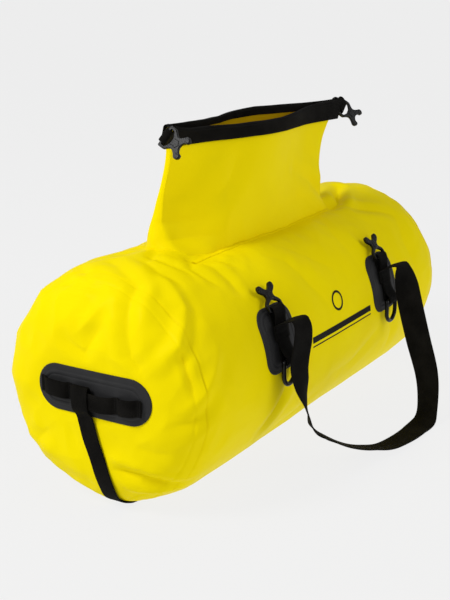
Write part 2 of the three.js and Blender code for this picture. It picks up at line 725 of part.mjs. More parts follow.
for (const [face, front] of [["front", true], ["back", false]]) {
  place(bag, `mouth_band_${face}`, mouthBand(front), webbing());
  place(bag, `mouth_stiffener_${face}`, mouthStiffener(front), stripPlastic());
}

for (const side of ["left", "right"]) {
  place(bag, `mouth_tab_${side}`, mouthTab(side), webbing());
  const mesh = place(bag, `mouth_buckle_${side}`, buckle(MOUTH_BUCKLE_HALF), plastic());
  mesh.applyMatrix4(basisOf(MOUTH_BUCKLES[side]));
}

// A group turned half round puts copies of the -X end and of the front on the opposite side.
const turnedRound = new THREE.Group();
turnedRound.rotation.z = Math.PI;
bag.add(turnedRound);

for (const [side, parent] of [["left", bag], ["right", turnedRound]]) {
  place(parent, `end_patch_${side}`, endPatch(), patchRubber());
  place(parent, `end_webbing_${side}`, endWebbing(), webbing());
}
place(bag, "under_strap", underStrap(), webbing());

// The back is the front mirrored in Y.
const mirrored = new THREE.Group();
mirrored.scale.y = -1;
bag.add(mirrored);

const [topLoopY, topLoopZ] = onFront(PATCH_WEBBING.topLoop, PATCH_WEBBING.stand);
const [lowLoopY, lowLoopZ] = onFront(PATCH_WEBBING.lowLoop, PATCH_WEBBING.stand);
const buckleLean = SIDE_ANGLE + PATCH_WEBBING.topLoop / BODY_RADIUS + 0.07;

for (const [face, parent] of [["front", bag], ["back", mirrored]]) {
  for (const side of ["left", "right"]) {
    const x = SIDE_X[side];
    place(parent, `${face}_patch_${side}`, sidePatch(x), patchRubber());
    place(parent, `${face}_webbing_${side}`, patchWebbing(x), webbing());
    const mesh = place(parent, `${face}_buckle_${side}`, buckle(SIDE_BUCKLE_HALF), plastic());
    mesh.rotation.x = Math.PI / 2 - buckleLean;
    mesh.position.set(x, topLoopY, topLoopZ);
    const ring = place(parent, `${face}_ring_${side}`, dRing(), plastic());
    ring.position.set(x, lowLoopY, lowLoopZ);
  }
  place(parent, `${face}_handle`, handle(), webbing());
}

export default bag;
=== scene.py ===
# Looks for the roll-top duffel bag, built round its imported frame.
# Metres. +X runs along the bag, the front faces -Y, +Z is up, and the bag lies on the plane z = 0.
import math

import bpy
import numpy as np
from mathutils import Matrix, Vector, noise


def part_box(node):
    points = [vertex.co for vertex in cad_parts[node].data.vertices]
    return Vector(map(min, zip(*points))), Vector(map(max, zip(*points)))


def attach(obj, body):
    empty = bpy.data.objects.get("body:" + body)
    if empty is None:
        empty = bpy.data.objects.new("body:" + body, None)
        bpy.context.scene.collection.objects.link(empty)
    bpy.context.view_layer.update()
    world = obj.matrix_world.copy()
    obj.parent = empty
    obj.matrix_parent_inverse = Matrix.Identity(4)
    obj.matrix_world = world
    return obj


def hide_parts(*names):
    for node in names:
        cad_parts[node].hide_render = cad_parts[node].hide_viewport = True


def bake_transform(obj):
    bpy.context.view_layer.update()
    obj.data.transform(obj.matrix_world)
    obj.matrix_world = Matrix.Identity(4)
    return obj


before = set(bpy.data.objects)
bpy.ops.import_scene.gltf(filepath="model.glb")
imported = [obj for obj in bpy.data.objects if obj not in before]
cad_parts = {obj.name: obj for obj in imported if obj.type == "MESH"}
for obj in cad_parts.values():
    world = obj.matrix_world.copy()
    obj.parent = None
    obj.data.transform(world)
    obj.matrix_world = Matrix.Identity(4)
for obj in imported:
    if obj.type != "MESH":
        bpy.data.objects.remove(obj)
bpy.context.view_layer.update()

MM = 0.001

# ---- driving dimensions: the tube's come from the frame, the rest are lengths on the bag ----
tube_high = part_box("body_tube")[1]
RADIUS = tube_high.y
AXIS_Z = tube_high.z - RADIUS
HALF_LENGTH = -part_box("end_panel_left")[0].x
CORNER = 162 * MM  # length over which each end rounds off
POWER = 4.6  # how square the rounded end is
SEAM_X = 362 * MM  # edge of the end panel's welded rim
WELD = 13 * MM  # width of that weld
SKIN = 0.9 * MM  # thickness of the coated fabric
FLOOR_CLEAR = 0.3 * MM  # the skin stays at least this far above the floor
AROUND = 340  # points round the bag's skin
TOP_ZONE = 250 * MM  # what lies above this is the top of the bag
END_ZONE = 300 * MM  # what lies further out than this is an end of the bag
SIGN = {"front": -1, "back": 1, "left": -1, "right": 1}  # which way each lies on its axis

# ---- the neck and the mouth ----
NECK_LEFT = -237 * MM
NECK_RIGHT = 167 * MM
NECK_FRONT = -50 * MM
NECK_BACK = 28 * MM
NECK_FOOT = 296 * MM
MOUTH_LEFT = -240 * MM
MOUTH_RIGHT = 245 * MM
MOUTH_Y = -20 * MM
MOUTH_FLAT = 4 * MM
MOUTH_CENTRE = -5 * MM
MOUTH_REACH = 185 * MM  # half the length over which the mouth's front stands open
BACK_REACH = 212 * MM  # the same at its back
MOUTH_FRONT = 24 * MM  # how far the mouth's front stands open, from its flat line
MOUTH_BACK = 42 * MM
RIM_Z = 475 * MM
RIM_SLOPE = -0.024
# Where the neck's left and right edges run, at shares of its height: shares, then places.
LEFT_EDGE = ([0, 0.3, 0.55, 0.75, 1], [-237, -236, -231, -229, -240])
RIGHT_EDGE = ([0, 0.2, 0.35, 0.5, 0.68, 0.87, 1], [167, 150, 145, 150, 169, 207, 245])
BAND_SLANT = 0.85  # how far the mouth's right end is cut back for each unit down
BAND_SLANT_START = 185 * MM
# How far the mouth's front and back edges sag below a straight rim, at places along it.
FRONT_SAG = ([-240, -225, -200, -100, 0, 60, 120, 180], [0, 4, 7, 9, 8, 5, 2, 0])
BACK_SAG = ([-240, -180, -120, -50, 10, 50], [0, 1, 4, 6, 2, 0])
# How deep the neck's left side is from front to back, at shares of its height.
LEFT_SIDE_DEPTH = ([0, 0.08, 0.17, 0.3, 0.5, 1], [78, 56, 32, 17, 10, 8])
NECK_LONG = 96  # points along the neck's front, and along its back
NECK_SIDE = 18  # points along each of its sides
NECK_SPLIT = 355 * MM  # where the neck's two skins meet
NECK_SKIN = 1.1 * MM  # thickness of the neck's fabric
BAND_HEIGHT = 27 * MM
BAND_OUTER = 5.8 * MM  # how far the band's outer face lies from the neck
BAND_INNER = 4.1 * MM  # the same for its inner face
BAND_TOP = 1.2 * MM  # how far the band stands above the rim

# ---- patches and webbing ----
SIDE_ANGLE = 0.29  # how far up round the tube the side patches lie, in radians
SIDE_PATCH_SIZE = (84 * MM, 92 * MM, 24 * MM)  # width, height and corner radius
END_PATCH_SIZE = (173 * MM, 61 * MM, 30.4 * MM)
END_PATCH_SHIFT = 12 * MM  # the end patch isn't in the middle of its end
END_PATCH_Z = 167 * MM
SIDE_PATCH_X = {"left": -186 * MM, "right": 148 * MM}
PATCH_FACE = RADIUS + 2.8 * MM
TOP_LOOP = 38 * MM  # how far up from a side patch's centre the buckle's bar lies
LOW_LOOP = -30 * MM  # the same for the ring's bar
LOOP_STAND = 7.3 * MM  # how far out from the patch both bars lie
LOOP_RADIUS = 4.7 * MM
HANDLE_WIDTH = 38 * MM
PATCH_STRAP_WIDTH = 28 * MM
UNDER_STRAP_WIDTH = 25 * MM
DAISY_WIDTH = 22 * MM
HANDLE_AXIS = (-181 * MM, 233 * MM)  # Y and Z of the line that the front handle swings on
# The webbing on the end patches, sewn down between its arches.
DAISY_Z = 163 * MM
DAISY_FACE = HALF_LENGTH + 3.1 * MM
DAISY_RISE = 8 * MM  # height of an arch
DAISY_ENDS = (67 * MM, -88 * MM)
DAISY_ARCHES = [(60 * MM, 23.5 * MM), (18.5 * MM, -46 * MM), (-54 * MM, -80 * MM)]
# How far the webbing lies above or below its middle line, at places across the bag.
DAISY_LIFT = ([-68, -48, -30, -12, 0, 40, 67], [0, -3, -4, -2, 0, 6, 6])
# How far to the side the under strap's middle lies, at each height.
STRAP_LEAN = ([10, 35, 60, 87, 110, 133], [-19, -22, -19, -13, -6, 0])


def table(rows, place):
    """A value in metres, read from a row of places and a row of values in millimetres."""
    return np.interp(place, rows[0], rows[1]) * MM


def strap_lean(z):
    """Where the under strap's middle lies at a height, from front to back."""
    return table(STRAP_LEAN, np.asarray(z) / MM)


# ---- mesh helpers ----
def add(name, data):
    """Puts a new object with this data into the scene."""
    obj = bpy.data.objects.new(name, data)
    bpy.context.scene.collection.objects.link(obj)
    return obj


def evaluated(obj):
    """A new mesh of the object as it looks with its modifiers or its bevel."""
    depsgraph = bpy.context.evaluated_depsgraph_get()
    return bpy.data.meshes.new_from_object(obj.evaluated_get(depsgraph))


def new_object(name, verts, faces, material, smooth_angle=40, uv=None):
    """A mesh object. Edges that turn more than smooth_angle degrees stay sharp."""
    mesh = bpy.data.meshes.new(name)
    mesh.from_pydata([tuple(v) for v in verts], [], [tuple(f) for f in faces])
    mesh.validate()
    if uv is not None:
        layer = mesh.uv_layers.new(name="UVMap")
        loops = np.empty(len(mesh.loops), int)
        mesh.loops.foreach_get("vertex_index", loops)
        layer.data.foreach_set("uv", np.asarray(uv, float)[loops].ravel())
    mesh.shade_smooth()
    mesh.set_sharp_from_angle(angle=math.radians(smooth_angle))
    mesh.materials.append(MATERIALS[material])
    return add(name, mesh)


def thicken(obj, thickness):
    """Gives a skin its thickness, inwards."""
    solid = obj.modifiers.new("thickness", "SOLIDIFY")
    solid.thickness = thickness
    solid.offset = -1
    mesh = evaluated(obj)
    obj.modifiers.clear()
    obj.data = mesh
    mesh.set_sharp_from_angle(angle=math.radians(50))


def settle(obj, body, replaced=None):
    """Tells the frame which body the piece rides, which CAD node it replaces."""
    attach(obj, body)
    if replaced:
        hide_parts(replaced)


def grid_faces(rows, columns, wrap):
    """Faces between rows of points. wrap joins each row's last point to its first."""
    faces = []
    last = columns if wrap else columns - 1
    for i in range(rows - 1):
        for j in range(last):
            a = i * columns + j
            b = i * columns + (j + 1) % columns
            faces.append((a, b, b + columns, a + columns))
    return faces


def closed_faces(rows, columns):
    """Faces of a rod: rings of points joined to each other, with both ends capped."""
    last = (rows - 1) * columns
    caps = [tuple(range(columns))[::-1], tuple(range(last, last + columns))]
    return grid_faces(rows, columns, True) + caps


def read_rows(at, places, rows):
    """Rows of three numbers, read off at other places along them."""
    return np.stack([np.interp(at, places, rows[:, k]) for k in range(3)], axis=1)


def soften_loop(points, weight):
    """Moves each point of a closed loop toward its two neighbours."""
    return (1 - 2 * weight) * points + weight * (np.roll(points, 1, axis=0) + np.roll(points, -1, axis=0))


def soften_line(values, times):
    """Rounds the steps of a line of values, its two ends kept."""
    for _ in range(times):
        values[1:-1] = 0.5 * values[1:-1] + 0.25 * (values[2:] + values[:-2])


def frame_of(x, y, z, at):
    """The matrix with these three axes, placed at a point."""
    return Matrix((*[(x[i], y[i], z[i], at[i]) for i in range(3)], (0, 0, 0, 1)))


def smooth_line(points, step):
    """A smooth curve through the points, sampled evenly."""
    points = np.asarray(points, float)
    ends = np.vstack([2 * points[0] - points[1], points, 2 * points[-1] - points[-2]])
    dense = []
    for i in range(len(points) - 1):
        a, b, c, d = ends[i:i + 4]
        for t in np.linspace(0, 1, 12, endpoint=False):
            dense.append(0.5 * (2 * b + (c - a) * t + (2 * a - 5 * b + 4 * c - d) * t ** 2
                                + (3 * b - a - 3 * c + d) * t ** 3))
    dense.append(points[-1])
    dense = np.array(dense)
    reach = np.concatenate([[0], np.cumsum(np.linalg.norm(np.diff(dense, axis=0), axis=1))])
    even = np.linspace(0, reach[-1], max(3, int(round(reach[-1] / step)) + 1))
    places = read_rows(even, reach, dense)
    knots = reach[::12] if len(reach[::12]) == len(points) else np.linspace(0, reach[-1], len(points))
    return places, even, knots


def unit(v):
    v = np.asarray(v, float)
    return v / np.maximum(np.linalg.norm(v, axis=-1, keepdims=True), 1e-9)


STRAP_SPREAD = np.array([-1, -0.97, -0.8, -0.4, 0, 0.4, 0.8, 0.97, 1])
STRAP_RISE = np.array([0.25, 0.8, 1, 0.93, 0.9, 0.93, 1, 0.8, 0.25])


def strap(name, points, across, width, thickness, step=2.5 * MM, cup=0.0):
    """Flat webbing along points. across is its width direction, and it and width may differ at each point."""
    places, even, knots = smooth_line(points, step)
    across = np.broadcast_to(np.asarray(across, float), (len(points), 3))
    widths = np.interp(even, knots, np.broadcast_to(width, len(points)))
    wide = read_rows(even, knots, across)
    along = unit(np.gradient(places, axis=0))
    wide = unit(wide - along * np.sum(wide * along, axis=1, keepdims=True))
    out = np.cross(along, wide)
    section = list(zip(STRAP_SPREAD, STRAP_RISE)) + list(zip(STRAP_SPREAD[::-1], -STRAP_RISE[::-1]))
    verts = []
    uv = []
    for i, place in enumerate(places):
        for s, r in section:
            bend = cup * (s ** 2 - 0.3)
            verts.append(place + wide[i] * s * widths[i] / 2 + out[i] * (r * thickness / 2 + bend))
            uv.append((even[i], s * widths[i] / 2))
    return new_object(name, verts, closed_faces(len(places), len(section)), "webbing", 55, uv)


def stitches(name, points, normal, body, length, gap, thread):
    """A row of sewn stitches along a line that lies on the fabric."""
    places, even, _ = smooth_line(points, 0.5 * MM)
    up = unit(normal)
    along = unit(np.gradient(places, axis=0))
    verts = []
    faces = []
    start = 0.0
    while start + length < even[-1]:
        a, b = read_rows([start, start + length], even, places)
        side = unit(np.cross(along[int(np.searchsorted(even, start + length / 2))], up))
        base = len(verts)
        for share, size in ((0, 0.25), (0.2, 0.9), (0.8, 0.9), (1, 0.25)):
            centre = a + (b - a) * share + up * thread * (size - 0.5)
            for turn in range(6):
                angle = turn * math.pi / 3
                verts.append(centre + thread * size * (side * math.cos(angle) + up * math.sin(angle)))
        faces += [tuple(base + k for k in f) for f in closed_faces(4, 6)]
        start += length + gap
    settle(new_object(name, verts, faces, "thread", 60), body)


# ---- materials ----
def material(name, build):
    made = bpy.data.materials.new(name)
    made.use_nodes = True
    build(made.node_tree, made.node_tree.nodes["Principled BSDF"])
    return made


def node(tree, kind, inputs=None, **settings):
    """A shader node whose inputs are linked to sockets or set to values."""
    made = tree.nodes.new(kind)
    for key, value in settings.items():
        setattr(made, key, value)
    for key, value in (inputs or {}).items():
        if isinstance(value, bpy.types.NodeSocket):
            tree.links.new(value, made.inputs[key])
        else:
            made.inputs[key].default_value = value
    return made


def maths(tree, operation, a, b=0.5):
    return node(tree, "ShaderNodeMath", {0: a, 1: b}, operation=operation).outputs[0]


def ramp(tree, factor, stops):
    made = node(tree, "ShaderNodeValToRGB", {"Fac": factor})
    elements = made.color_ramp.elements
    while len(elements) < len(stops):
        elements.new(0.5)
    for element, (place, colour) in zip(elements, stops):
        element.position = place
        element.color = (*colour, 1)
    return made.outputs["Color"]


def noise_factor(tree, scale, detail=2, rough=0.5):
    where = node(tree, "ShaderNodeTexCoord").outputs["Object"]
    inputs = {"Vector": where, "Scale": scale, "Detail": detail, "Roughness": rough}
    return node(tree, "ShaderNodeTexNoise", inputs).outputs["Fac"]


def uneven(tree, factor, low, high):
    """A factor spread between two values."""
    inputs = {"Value": factor, "To Min": low, "To Max": high}
    return node(tree, "ShaderNodeMapRange", inputs).outputs["Result"]


def dress(tree, shader, colour, roughness, specular, height, strength, distance):
    """Sets the shader's colour, finish and bump."""
    bump = node(tree, "ShaderNodeBump", {"Height": height, "Strength": strength, "Distance": distance})
    tree.links.new(bump.outputs["Normal"], shader.inputs["Normal"])
    tree.links.new(colour, shader.inputs["Base Color"])
    if isinstance(roughness, bpy.types.NodeSocket):
        tree.links.new(roughness, shader.inputs["Roughness"])
    else:
        shader.inputs["Roughness"].default_value = roughness
    shader.inputs["Specular IOR Level"].default_value = specular


SCRIM_PITCH = 1.5 * MM
RIB_PITCH = 1.7 * MM
WARP_PITCH = 2.4 * MM
FULL_TURN = 2 * math.pi


def tarpaulin(base, shade):
    """Coated fabric: a faint woven scrim under a smooth coat, with shallow dents and a cloudy colour."""
    def build(tree, shader):
        where = node(tree, "ShaderNodeTexCoord").outputs["Object"]
        split = node(tree, "ShaderNodeSeparateXYZ", {"Vector": where})
        around = maths(tree, "ADD", split.outputs["Y"], split.outputs["Z"])
        pitch = FULL_TURN / SCRIM_PITCH
        warp = maths(tree, "SINE", maths(tree, "MULTIPLY", split.outputs["X"], pitch))
        weft = maths(tree, "SINE", maths(tree, "MULTIPLY", around, pitch))
        scrim = maths(tree, "MULTIPLY", maths(tree, "ADD", warp, weft), 0.012)
        height = maths(tree, "ADD", scrim, noise_factor(tree, 55, 4, 0.55))
        colour = ramp(tree, noise_factor(tree, 9, 3), [(0.3, shade), (0.62, base)])
        rough = uneven(tree, noise_factor(tree, 26, 4, 0.6), 0.34, 0.52)
        dress(tree, shader, colour, rough, 0.012, height, 0.22, 0.0022)
    return build


def webbing(tree, shader):
    """Woven polyester: ribs across, thin warp lines along, from the strap's own lengths in metres."""
    where = node(tree, "ShaderNodeUVMap", uv_map="UVMap").outputs["UV"]
    split = node(tree, "ShaderNodeSeparateXYZ", {"Vector": where})
    along = maths(tree, "MULTIPLY", split.outputs["X"], FULL_TURN / RIB_PITCH)
    warp = maths(tree, "SINE", maths(tree, "MULTIPLY", split.outputs["Y"], FULL_TURN / WARP_PITCH))
    rib = maths(tree, "SINE", maths(tree, "ADD", along, maths(tree, "MULTIPLY", warp, 1.4)))
    height = maths(tree, "ADD", rib, maths(tree, "MULTIPLY", warp, 0.5))
    height = maths(tree, "ADD", height, noise_factor(tree, 700, 3))
    worn = [(0.35, (0.0032, 0.0028, 0.0022)), (0.75, (0.008, 0.0072, 0.006))]
    colour = ramp(tree, noise_factor(tree, 40, 4), worn)
    dress(tree, shader, colour, 0.85, 0.07, height, 0.55, 0.0004)


def moulded(dark, light, roughness, grain, depth, specular=0.25):
    """Plain moulded plastic or rubber with a fine grain, its colour between dark and light."""
    def build(tree, shader):
        colour = ramp(tree, noise_factor(tree, 60, 3), [(0.3, dark), (0.7, light)])
        rough = uneven(tree, noise_factor(tree, 120, 3), roughness - 0.06, roughness + 0.08)
        dress(tree, shader, colour, rough, specular, noise_factor(tree, grain, 2), 0.3, depth)
    return build


def fabric(name, base, shade):
    return material(f"tarpaulin_{name}", tarpaulin(base, shade))


def plain(name, dark, light, *finish):
    """A moulded material. finish is its roughness, the grain's scale and depth, and its specular."""
    return material(name, moulded(dark, light, *finish))


MATERIALS = {
    "skin": fabric("body", (0.93, 0.76, 0.001), (0.89, 0.72, 0.001)),
    # The neck: the body's tarpaulin painted a little brighter, painted light on the neck.
    "neck": fabric("neck", (0.95, 0.765, 0.001), (0.91, 0.73, 0.001)),
    # The inside of the neck: the same tarpaulin painted dark gold, painted shade.
    "inside_painted_shade": fabric("inside_painted_shade", (0.55, 0.36, 0.002), (0.48, 0.31, 0.002)),
    "webbing": material("webbing_black", webbing),
    "thread": plain("thread_black", (0.008, 0.008, 0.007), (0.013, 0.013, 0.012), 0.7, 900, 0.0001, 0.1),
    "patch": plain("patch_rubber", (0.021, 0.021, 0.022), (0.027, 0.027, 0.028), 0.6, 900, 0.0003, 0.12),
    "plastic": plain("buckle_plastic", (0.003, 0.003, 0.003), (0.006, 0.006, 0.006), 0.27, 1200, 0.0001, 0.2),
    "strip": plain("stiffener_plastic", (0.3, 0.3, 0.29), (0.36, 0.36, 0.35), 0.45, 500, 0.0002),
    "ink": plain("print_ink", (0.006, 0.006, 0.005), (0.01, 0.01, 0.008), 0.6, 700, 0.0001, 0.08),
}


# ---- the bag's skin ----
def end_radius(x):
    """The bag's radius at a place along it."""
    share = np.clip((np.abs(x) - (HALF_LENGTH - CORNER)) / CORNER, 0, 1)
    return RADIUS * (1 - share ** POWER) ** (1 / POWER)


def end_depth(rho, offset=0):
    """How far out along X the rounded end lies at a distance rho from the axis."""
    share = np.clip(rho / (RADIUS + offset), 0, 1)
    return HALF_LENGTH - CORNER + (CORNER + offset) * (1 - share ** POWER) ** (1 / POWER)


def soft_noise(points, scale, seed):
    """Smooth noise at each point, the same in each run."""
    shift = Vector((seed * 3.7, seed * 1.3, seed * 2.1))
    return np.array([noise.noise(Vector(p) * scale + shift) for p in points])


def creased_noise(points, scale, seed, rounding):
    """Noise folded at its middle, so that soft creases run where it was zero."""
    return np.sqrt(soft_noise(points, scale, seed) ** 2 + rounding)


def near_line(points, line):
    """Distance from each point to a broken line, and how far along the line it is, 0 to 1."""
    best = np.full(len(points), 9.0)
    place = np.zeros(len(points))
    line = np.asarray(line, float)
    total = len(line) - 1
    for i in range(total):
        a, b = line[i], line[i + 1]
        d = b - a
        t = np.clip(((points - a) @ d) / (d @ d), 0, 1)
        gap = np.linalg.norm(points - (a + t[:, None] * d), axis=1)
        closer = gap < best
        best = np.where(closer, gap, best)
        place = np.where(closer, (i + t) / total, place)
    return best, place


def fold(points, line, width, depth, lift=0.45):
    """A pressed-in crease with a soft ridge on both sides, fading out at its ends."""
    gap, place = near_line(points, line)
    fade = np.sin(math.pi * np.clip(0.08 + 0.84 * place, 0, 1)) ** 0.7
    crease = np.exp(-np.sqrt(gap ** 2 + (0.12 * width) ** 2) / width)
    shoulder = np.exp(-((gap - 2.2 * width) / (1.3 * width)) ** 2)
    return depth * fade * (lift * shoulder - crease)


# Folds of the skin: a line of points in metres, and a width and a depth in millimetres. A negative depth
# stands out.
LEFT_END_FOLDS = [
    ([(-.33, .01, .315), (-.36, -.05, .30), (-.386, -.055, .278), (-.40, -.068, .226),
      (-.40, -.089, .20)], 8, 6.0),
    ([(-.40, -.089, .20), (-.375, -.119, .238), (-.339, -.105, .275), (-.325, -.068, .301)], 7, -5.0),
    ([(-.36, -.08, .285), (-.37, -.10, .25), (-.395, -.09, .21)], 8, 5.0),
    ([(-.375, -.126, .227), (-.376, -.135, .203), (-.372, -.14, .18)], 4, 3.4),
    ([(-.383, -.136, .167), (-.364, -.148, .18), (-.342, -.15, .203), (-.326, -.144, .225)], 8, -3.6),
    ([(-.39, -.128, .145), (-.375, -.142, .15), (-.35, -.152, .165)], 7, 3.0),
    ([(-.376, .048, .292), (-.381, .008, .296), (-.38, -.01, .297)], 5, 3.0),
    ([(-.344, .05, .306), (-.372, .013, .303)], 5, 2.6),
    ([(-.402, .012, .242), (-.398, -.01, .263), (-.388, -.027, .286)], 7, -3.2),
    ([(-.402, .03, .232), (-.403, 0, .218), (-.402, -.02, .25)], 8, 3.0),
    ([(-.403, -.02, .062), (-.401, -.038, .069), (-.395, -.075, .067), (-.375, -.105, .052),
      (-.35, -.12, .045)], 7, 7.0),
    ([(-.39, -.05, .04), (-.385, -.075, .043), (-.372, -.09, .04)], 7, -3.5),
    ([(-.403, -.075, .11), (-.40, -.1, .104), (-.385, -.122, .106)], 9, 2.4),
    ([(-.395, .089, .082), (-.402, .066, .103)], 8, 3.4),
    ([(-.40, .06, .05), (-.39, .1, .06), (-.36, .13, .07)], 10, 3.4),
    ([(-.385, -.02, .03), (-.39, .02, .04), (-.38, .06, .035)], 8, 2.6),
]
NECK_FOLDS = [
    ([(-.24, .0, .32), (-.283, -.017, .318), (-.285, -.04, .313), (-.277, -.066, .304),
      (-.277, -.08, .297)], 6, 3.2),
    ([(-.25, -.01, .32), (-.306, -.026, .316), (-.315, -.053, .308), (-.308, -.08, .297)], 8, 3.0),
    ([(-.238, -.05, .311), (-.264, -.066, .304), (-.26, -.085, .294), (-.254, -.10, .285)], 6, 3.0),
    ([(-.235, -.052, .311), (-.225, -.08, .298), (-.222, -.10, .285), (-.225, -.115, .27)], 7, 2.6),
    ([(-.23, -.052, .311), (-.20, -.072, .302), (-.185, -.085, .294)], 6, 2.4),
    ([(-.24, .0, .32), (-.27, .02, .318), (-.32, .03, .315)], 9, 2.6),
    ([(-.24, .028, .318), (-.27, .06, .308), (-.29, .09, .29)], 8, 3.0),
    ([(-.20, .03, .318), (-.19, .07, .302), (-.2, .1, .284)], 9, 2.4),
    ([(.167, -.05, .311), (.20, -.05, .311), (.238, -.029, .316), (.28, -.01, .32)], 8, 12),
    ([(.167, -.052, .311), (.20, -.07, .30), (.243, -.085, .294), (.293, -.103, .281)], 8, 5.0),
    ([(.165, .03, .317), (.20, .05, .31), (.25, .07, .302)], 8, 6.0),
    ([(.12, .03, .318), (.13, .07, .302), (.12, .1, .283)], 9, 2.2),
]
BODY_FOLDS = [
    ([(-.138, -.072, .301), (-.083, -.105, .28), (-.062, -.134, .246), (-.031, -.153, .207)], 14, 3.0),
    ([(-.10, -.055, .308), (-.05, -.094, .288), (-.005, -.121, .264), (.03, -.135, .245)], 14, 2.4),
    ([(.10, -.06, .306), (.08, -.10, .284), (.09, -.13, .25)], 14, 1.8),
    ([(-.17, -.16, .135), (-.176, -.156, .118), (-.19, -.149, .098), (-.215, -.14, .078)], 9, 4.2),
    ([(.13, -.16, .13), (.09, -.154, .112), (.05, -.149, .097), (-.02, -.15, .10)], 10, 2.6),
    ([(.17, -.16, .135), (.19, -.155, .112), (.2, -.14, .08)], 10, 2.8),
    ([(-.05, -.14, .08), (-.10, -.13, .065), (-.16, -.12, .05)], 12, 2.2),
    ([(-.17, .16, .135), (-.176, .156, .118), (-.19, .149, .098), (-.215, .14, .078)], 9, 3.8),
    ([(.16, .16, .135), (.18, .155, .112), (.2, .14, .08)], 10, 3.2),
    ([(.02, .15, .2), (-.03, .156, .18), (-.08, .15, .21), (-.1, .13, .25)], 14, 2.6),
    ([(.3, .1, .28), (.26, .14, .24), (.27, .158, .18)], 13, 2.6),
    ([(-.3, .1, .28), (-.27, .14, .24), (-.28, .158, .18)], 13, 2.8),
    ([(.3, -.1, .28), (.27, -.14, .24), (.28, -.158, .19)], 14, 2.0),
]
RIGHT_END_FOLDS = [
    ([(.33, -.01, .315), (.37, .05, .298), (.392, .06, .265), (.402, .05, .23)], 12, 4.0),
    ([(.402, .07, .22), (.385, .11, .235), (.35, .105, .27)], 10, -3.0),
    ([(.38, -.06, .285), (.395, -.05, .265), (.402, -.06, .23)], 12, 3.4),
    ([(.402, -.09, .2), (.385, -.125, .19), (.36, -.15, .18)], 10, 2.6),
    ([(.403, .02, .07), (.398, .06, .068), (.38, .1, .055)], 10, 4.0),
    ([(.402, -.05, .09), (.39, -.1, .08), (.365, -.13, .075)], 12, 2.8),
]


CALM_EDGE = 22 * MM  # over this distance from a patch the wrinkles come back


def patch_calm(points):
    """0 under a patch, 1 away from all of them, so that each patch lies flat on the skin."""
    calm = np.ones(len(points))
    for x in SIDE_PATCH_X.values():
        for side in (-1, 1):
            centre = (side * RADIUS * math.cos(SIDE_ANGLE), AXIS_Z + RADIUS * math.sin(SIDE_ANGLE))
            gap = np.maximum(np.abs(points[:, 0] - x), np.linalg.norm(points[:, 1:] - centre, axis=1) * 0.93)
            calm *= np.clip((gap - 44 * MM) / CALM_EDGE, 0, 1)
    for side in (-1, 1):
        y = side * END_PATCH_SHIFT
        over = np.abs(points[:, 1] - y) - 56 * MM
        gap = np.hypot(np.maximum(over, 0), points[:, 2] - AXIS_Z - 9.5 * MM) - 31 * MM
        gap = np.where(points[:, 0] * side > END_ZONE, gap, 1.0)
        calm *= np.clip((gap + 2 * MM) / CALM_EDGE, 0, 1)
    strap_gap = np.abs(points[:, 1] - strap_lean(points[:, 2])) - 14 * MM
    low = np.clip((0.16 - points[:, 2]) / 0.01, 0, 1) * (np.abs(points[:, 0]) > END_ZONE)
    calm *= 1 - low * (1 - np.clip(strap_gap / (18 * MM), 0, 1))
    return calm


# Depths of the skin's wrinkles in millimetres: everywhere, more at the ends, and more near the neck.
SWELLS = 1.6
FACETS = (0.9, 4.6, 1.8)
CRUMPLES = (0.35, 3.2, 2.6)
RIPPLES = (0.12, 0.3, 0)


def wrinkles(points):
    """How far the skin stands out from the plain shape at each point."""
    points = np.asarray(points, float)
    end = np.clip((np.abs(points[:, 0]) - 0.27) / 0.09, 0, 1)
    near_neck = np.exp(-(np.maximum(0, np.abs(points[:, 0] + 0.035) - 0.2) / 0.08) ** 2)
    near_neck = near_neck * np.clip((points[:, 2] - 0.24) / 0.07, 0, 1)
    d = SWELLS * soft_noise(points, 8, 1)
    facet = 0.32 - creased_noise(points, 11, 2, 0.0016)
    crumple = 0.25 - creased_noise(points, 26, 3, 0.001)
    ripple = soft_noise(points, 60, 4)
    for depths, layer in ((FACETS, facet), (CRUMPLES, crumple), (RIPPLES, ripple)):
        d += (depths[0] + depths[1] * end + depths[2] * near_neck) * layer
    for line, width, depth in LEFT_END_FOLDS + NECK_FOLDS + BODY_FOLDS + RIGHT_END_FOLDS:
        d += fold(points, line, width * MM, depth)
    return d * MM * patch_calm(points) + seam_dip(points)


SEAM_DIPS = ((NECK_FRONT, 6.5), (NECK_BACK, 3.5))  # where each seam is, and its depth in millimetres
SEAM_RISE = 0.155  # how far above the axis the seams are
SEAM_WIDTH = 0.017


def seam_dip(points):
    """The neck pulls the skin in along its seams."""
    top = points[:, 2] > TOP_ZONE
    dip = np.zeros(len(points))
    z = AXIS_Z + SEAM_RISE
    for y, depth in SEAM_DIPS:
        gap, _ = near_line(points, [(NECK_LEFT, y, z), (NECK_RIGHT, y, z)])
        dip -= depth * np.exp(-(gap / SEAM_WIDTH) ** 2)
    return dip * top * MM


def skin_points(x, radial_x, radius, theta, offset):
    """Points on the skin. radial_x is the X part of the outward normal."""
    base = np.stack([x, -radius * np.cos(theta), AXIS_Z + radius * np.sin(theta)], axis=1)
    flat = np.sqrt(np.maximum(0, 1 - radial_x ** 2))
    normal = np.stack([radial_x, -flat * np.cos(theta), flat * np.sin(theta)], axis=1)
    moved = base + normal * (wrinkles(base) + offset)[:, None]
    moved[:, 2] = np.maximum(moved[:, 2], FLOOR_CLEAR)
    return moved


def end_profile(steps):
    """The end's outline from its seam to its middle, as x and radius, evenly spaced along the fabric."""
    t = np.linspace(0, 1, 4000)
    x = SEAM_X + (HALF_LENGTH - SEAM_X) * (1 - (1 - t) ** 3)
    r = end_radius(x)
    length = np.concatenate([[0], np.cumsum(np.hypot(np.diff(x), np.diff(r)))])
    length, keep = np.unique(length, return_index=True)
    even = np.linspace(0, length[-1], steps)
    return np.interp(even, length, x[keep]), np.interp(even, length, r[keep])


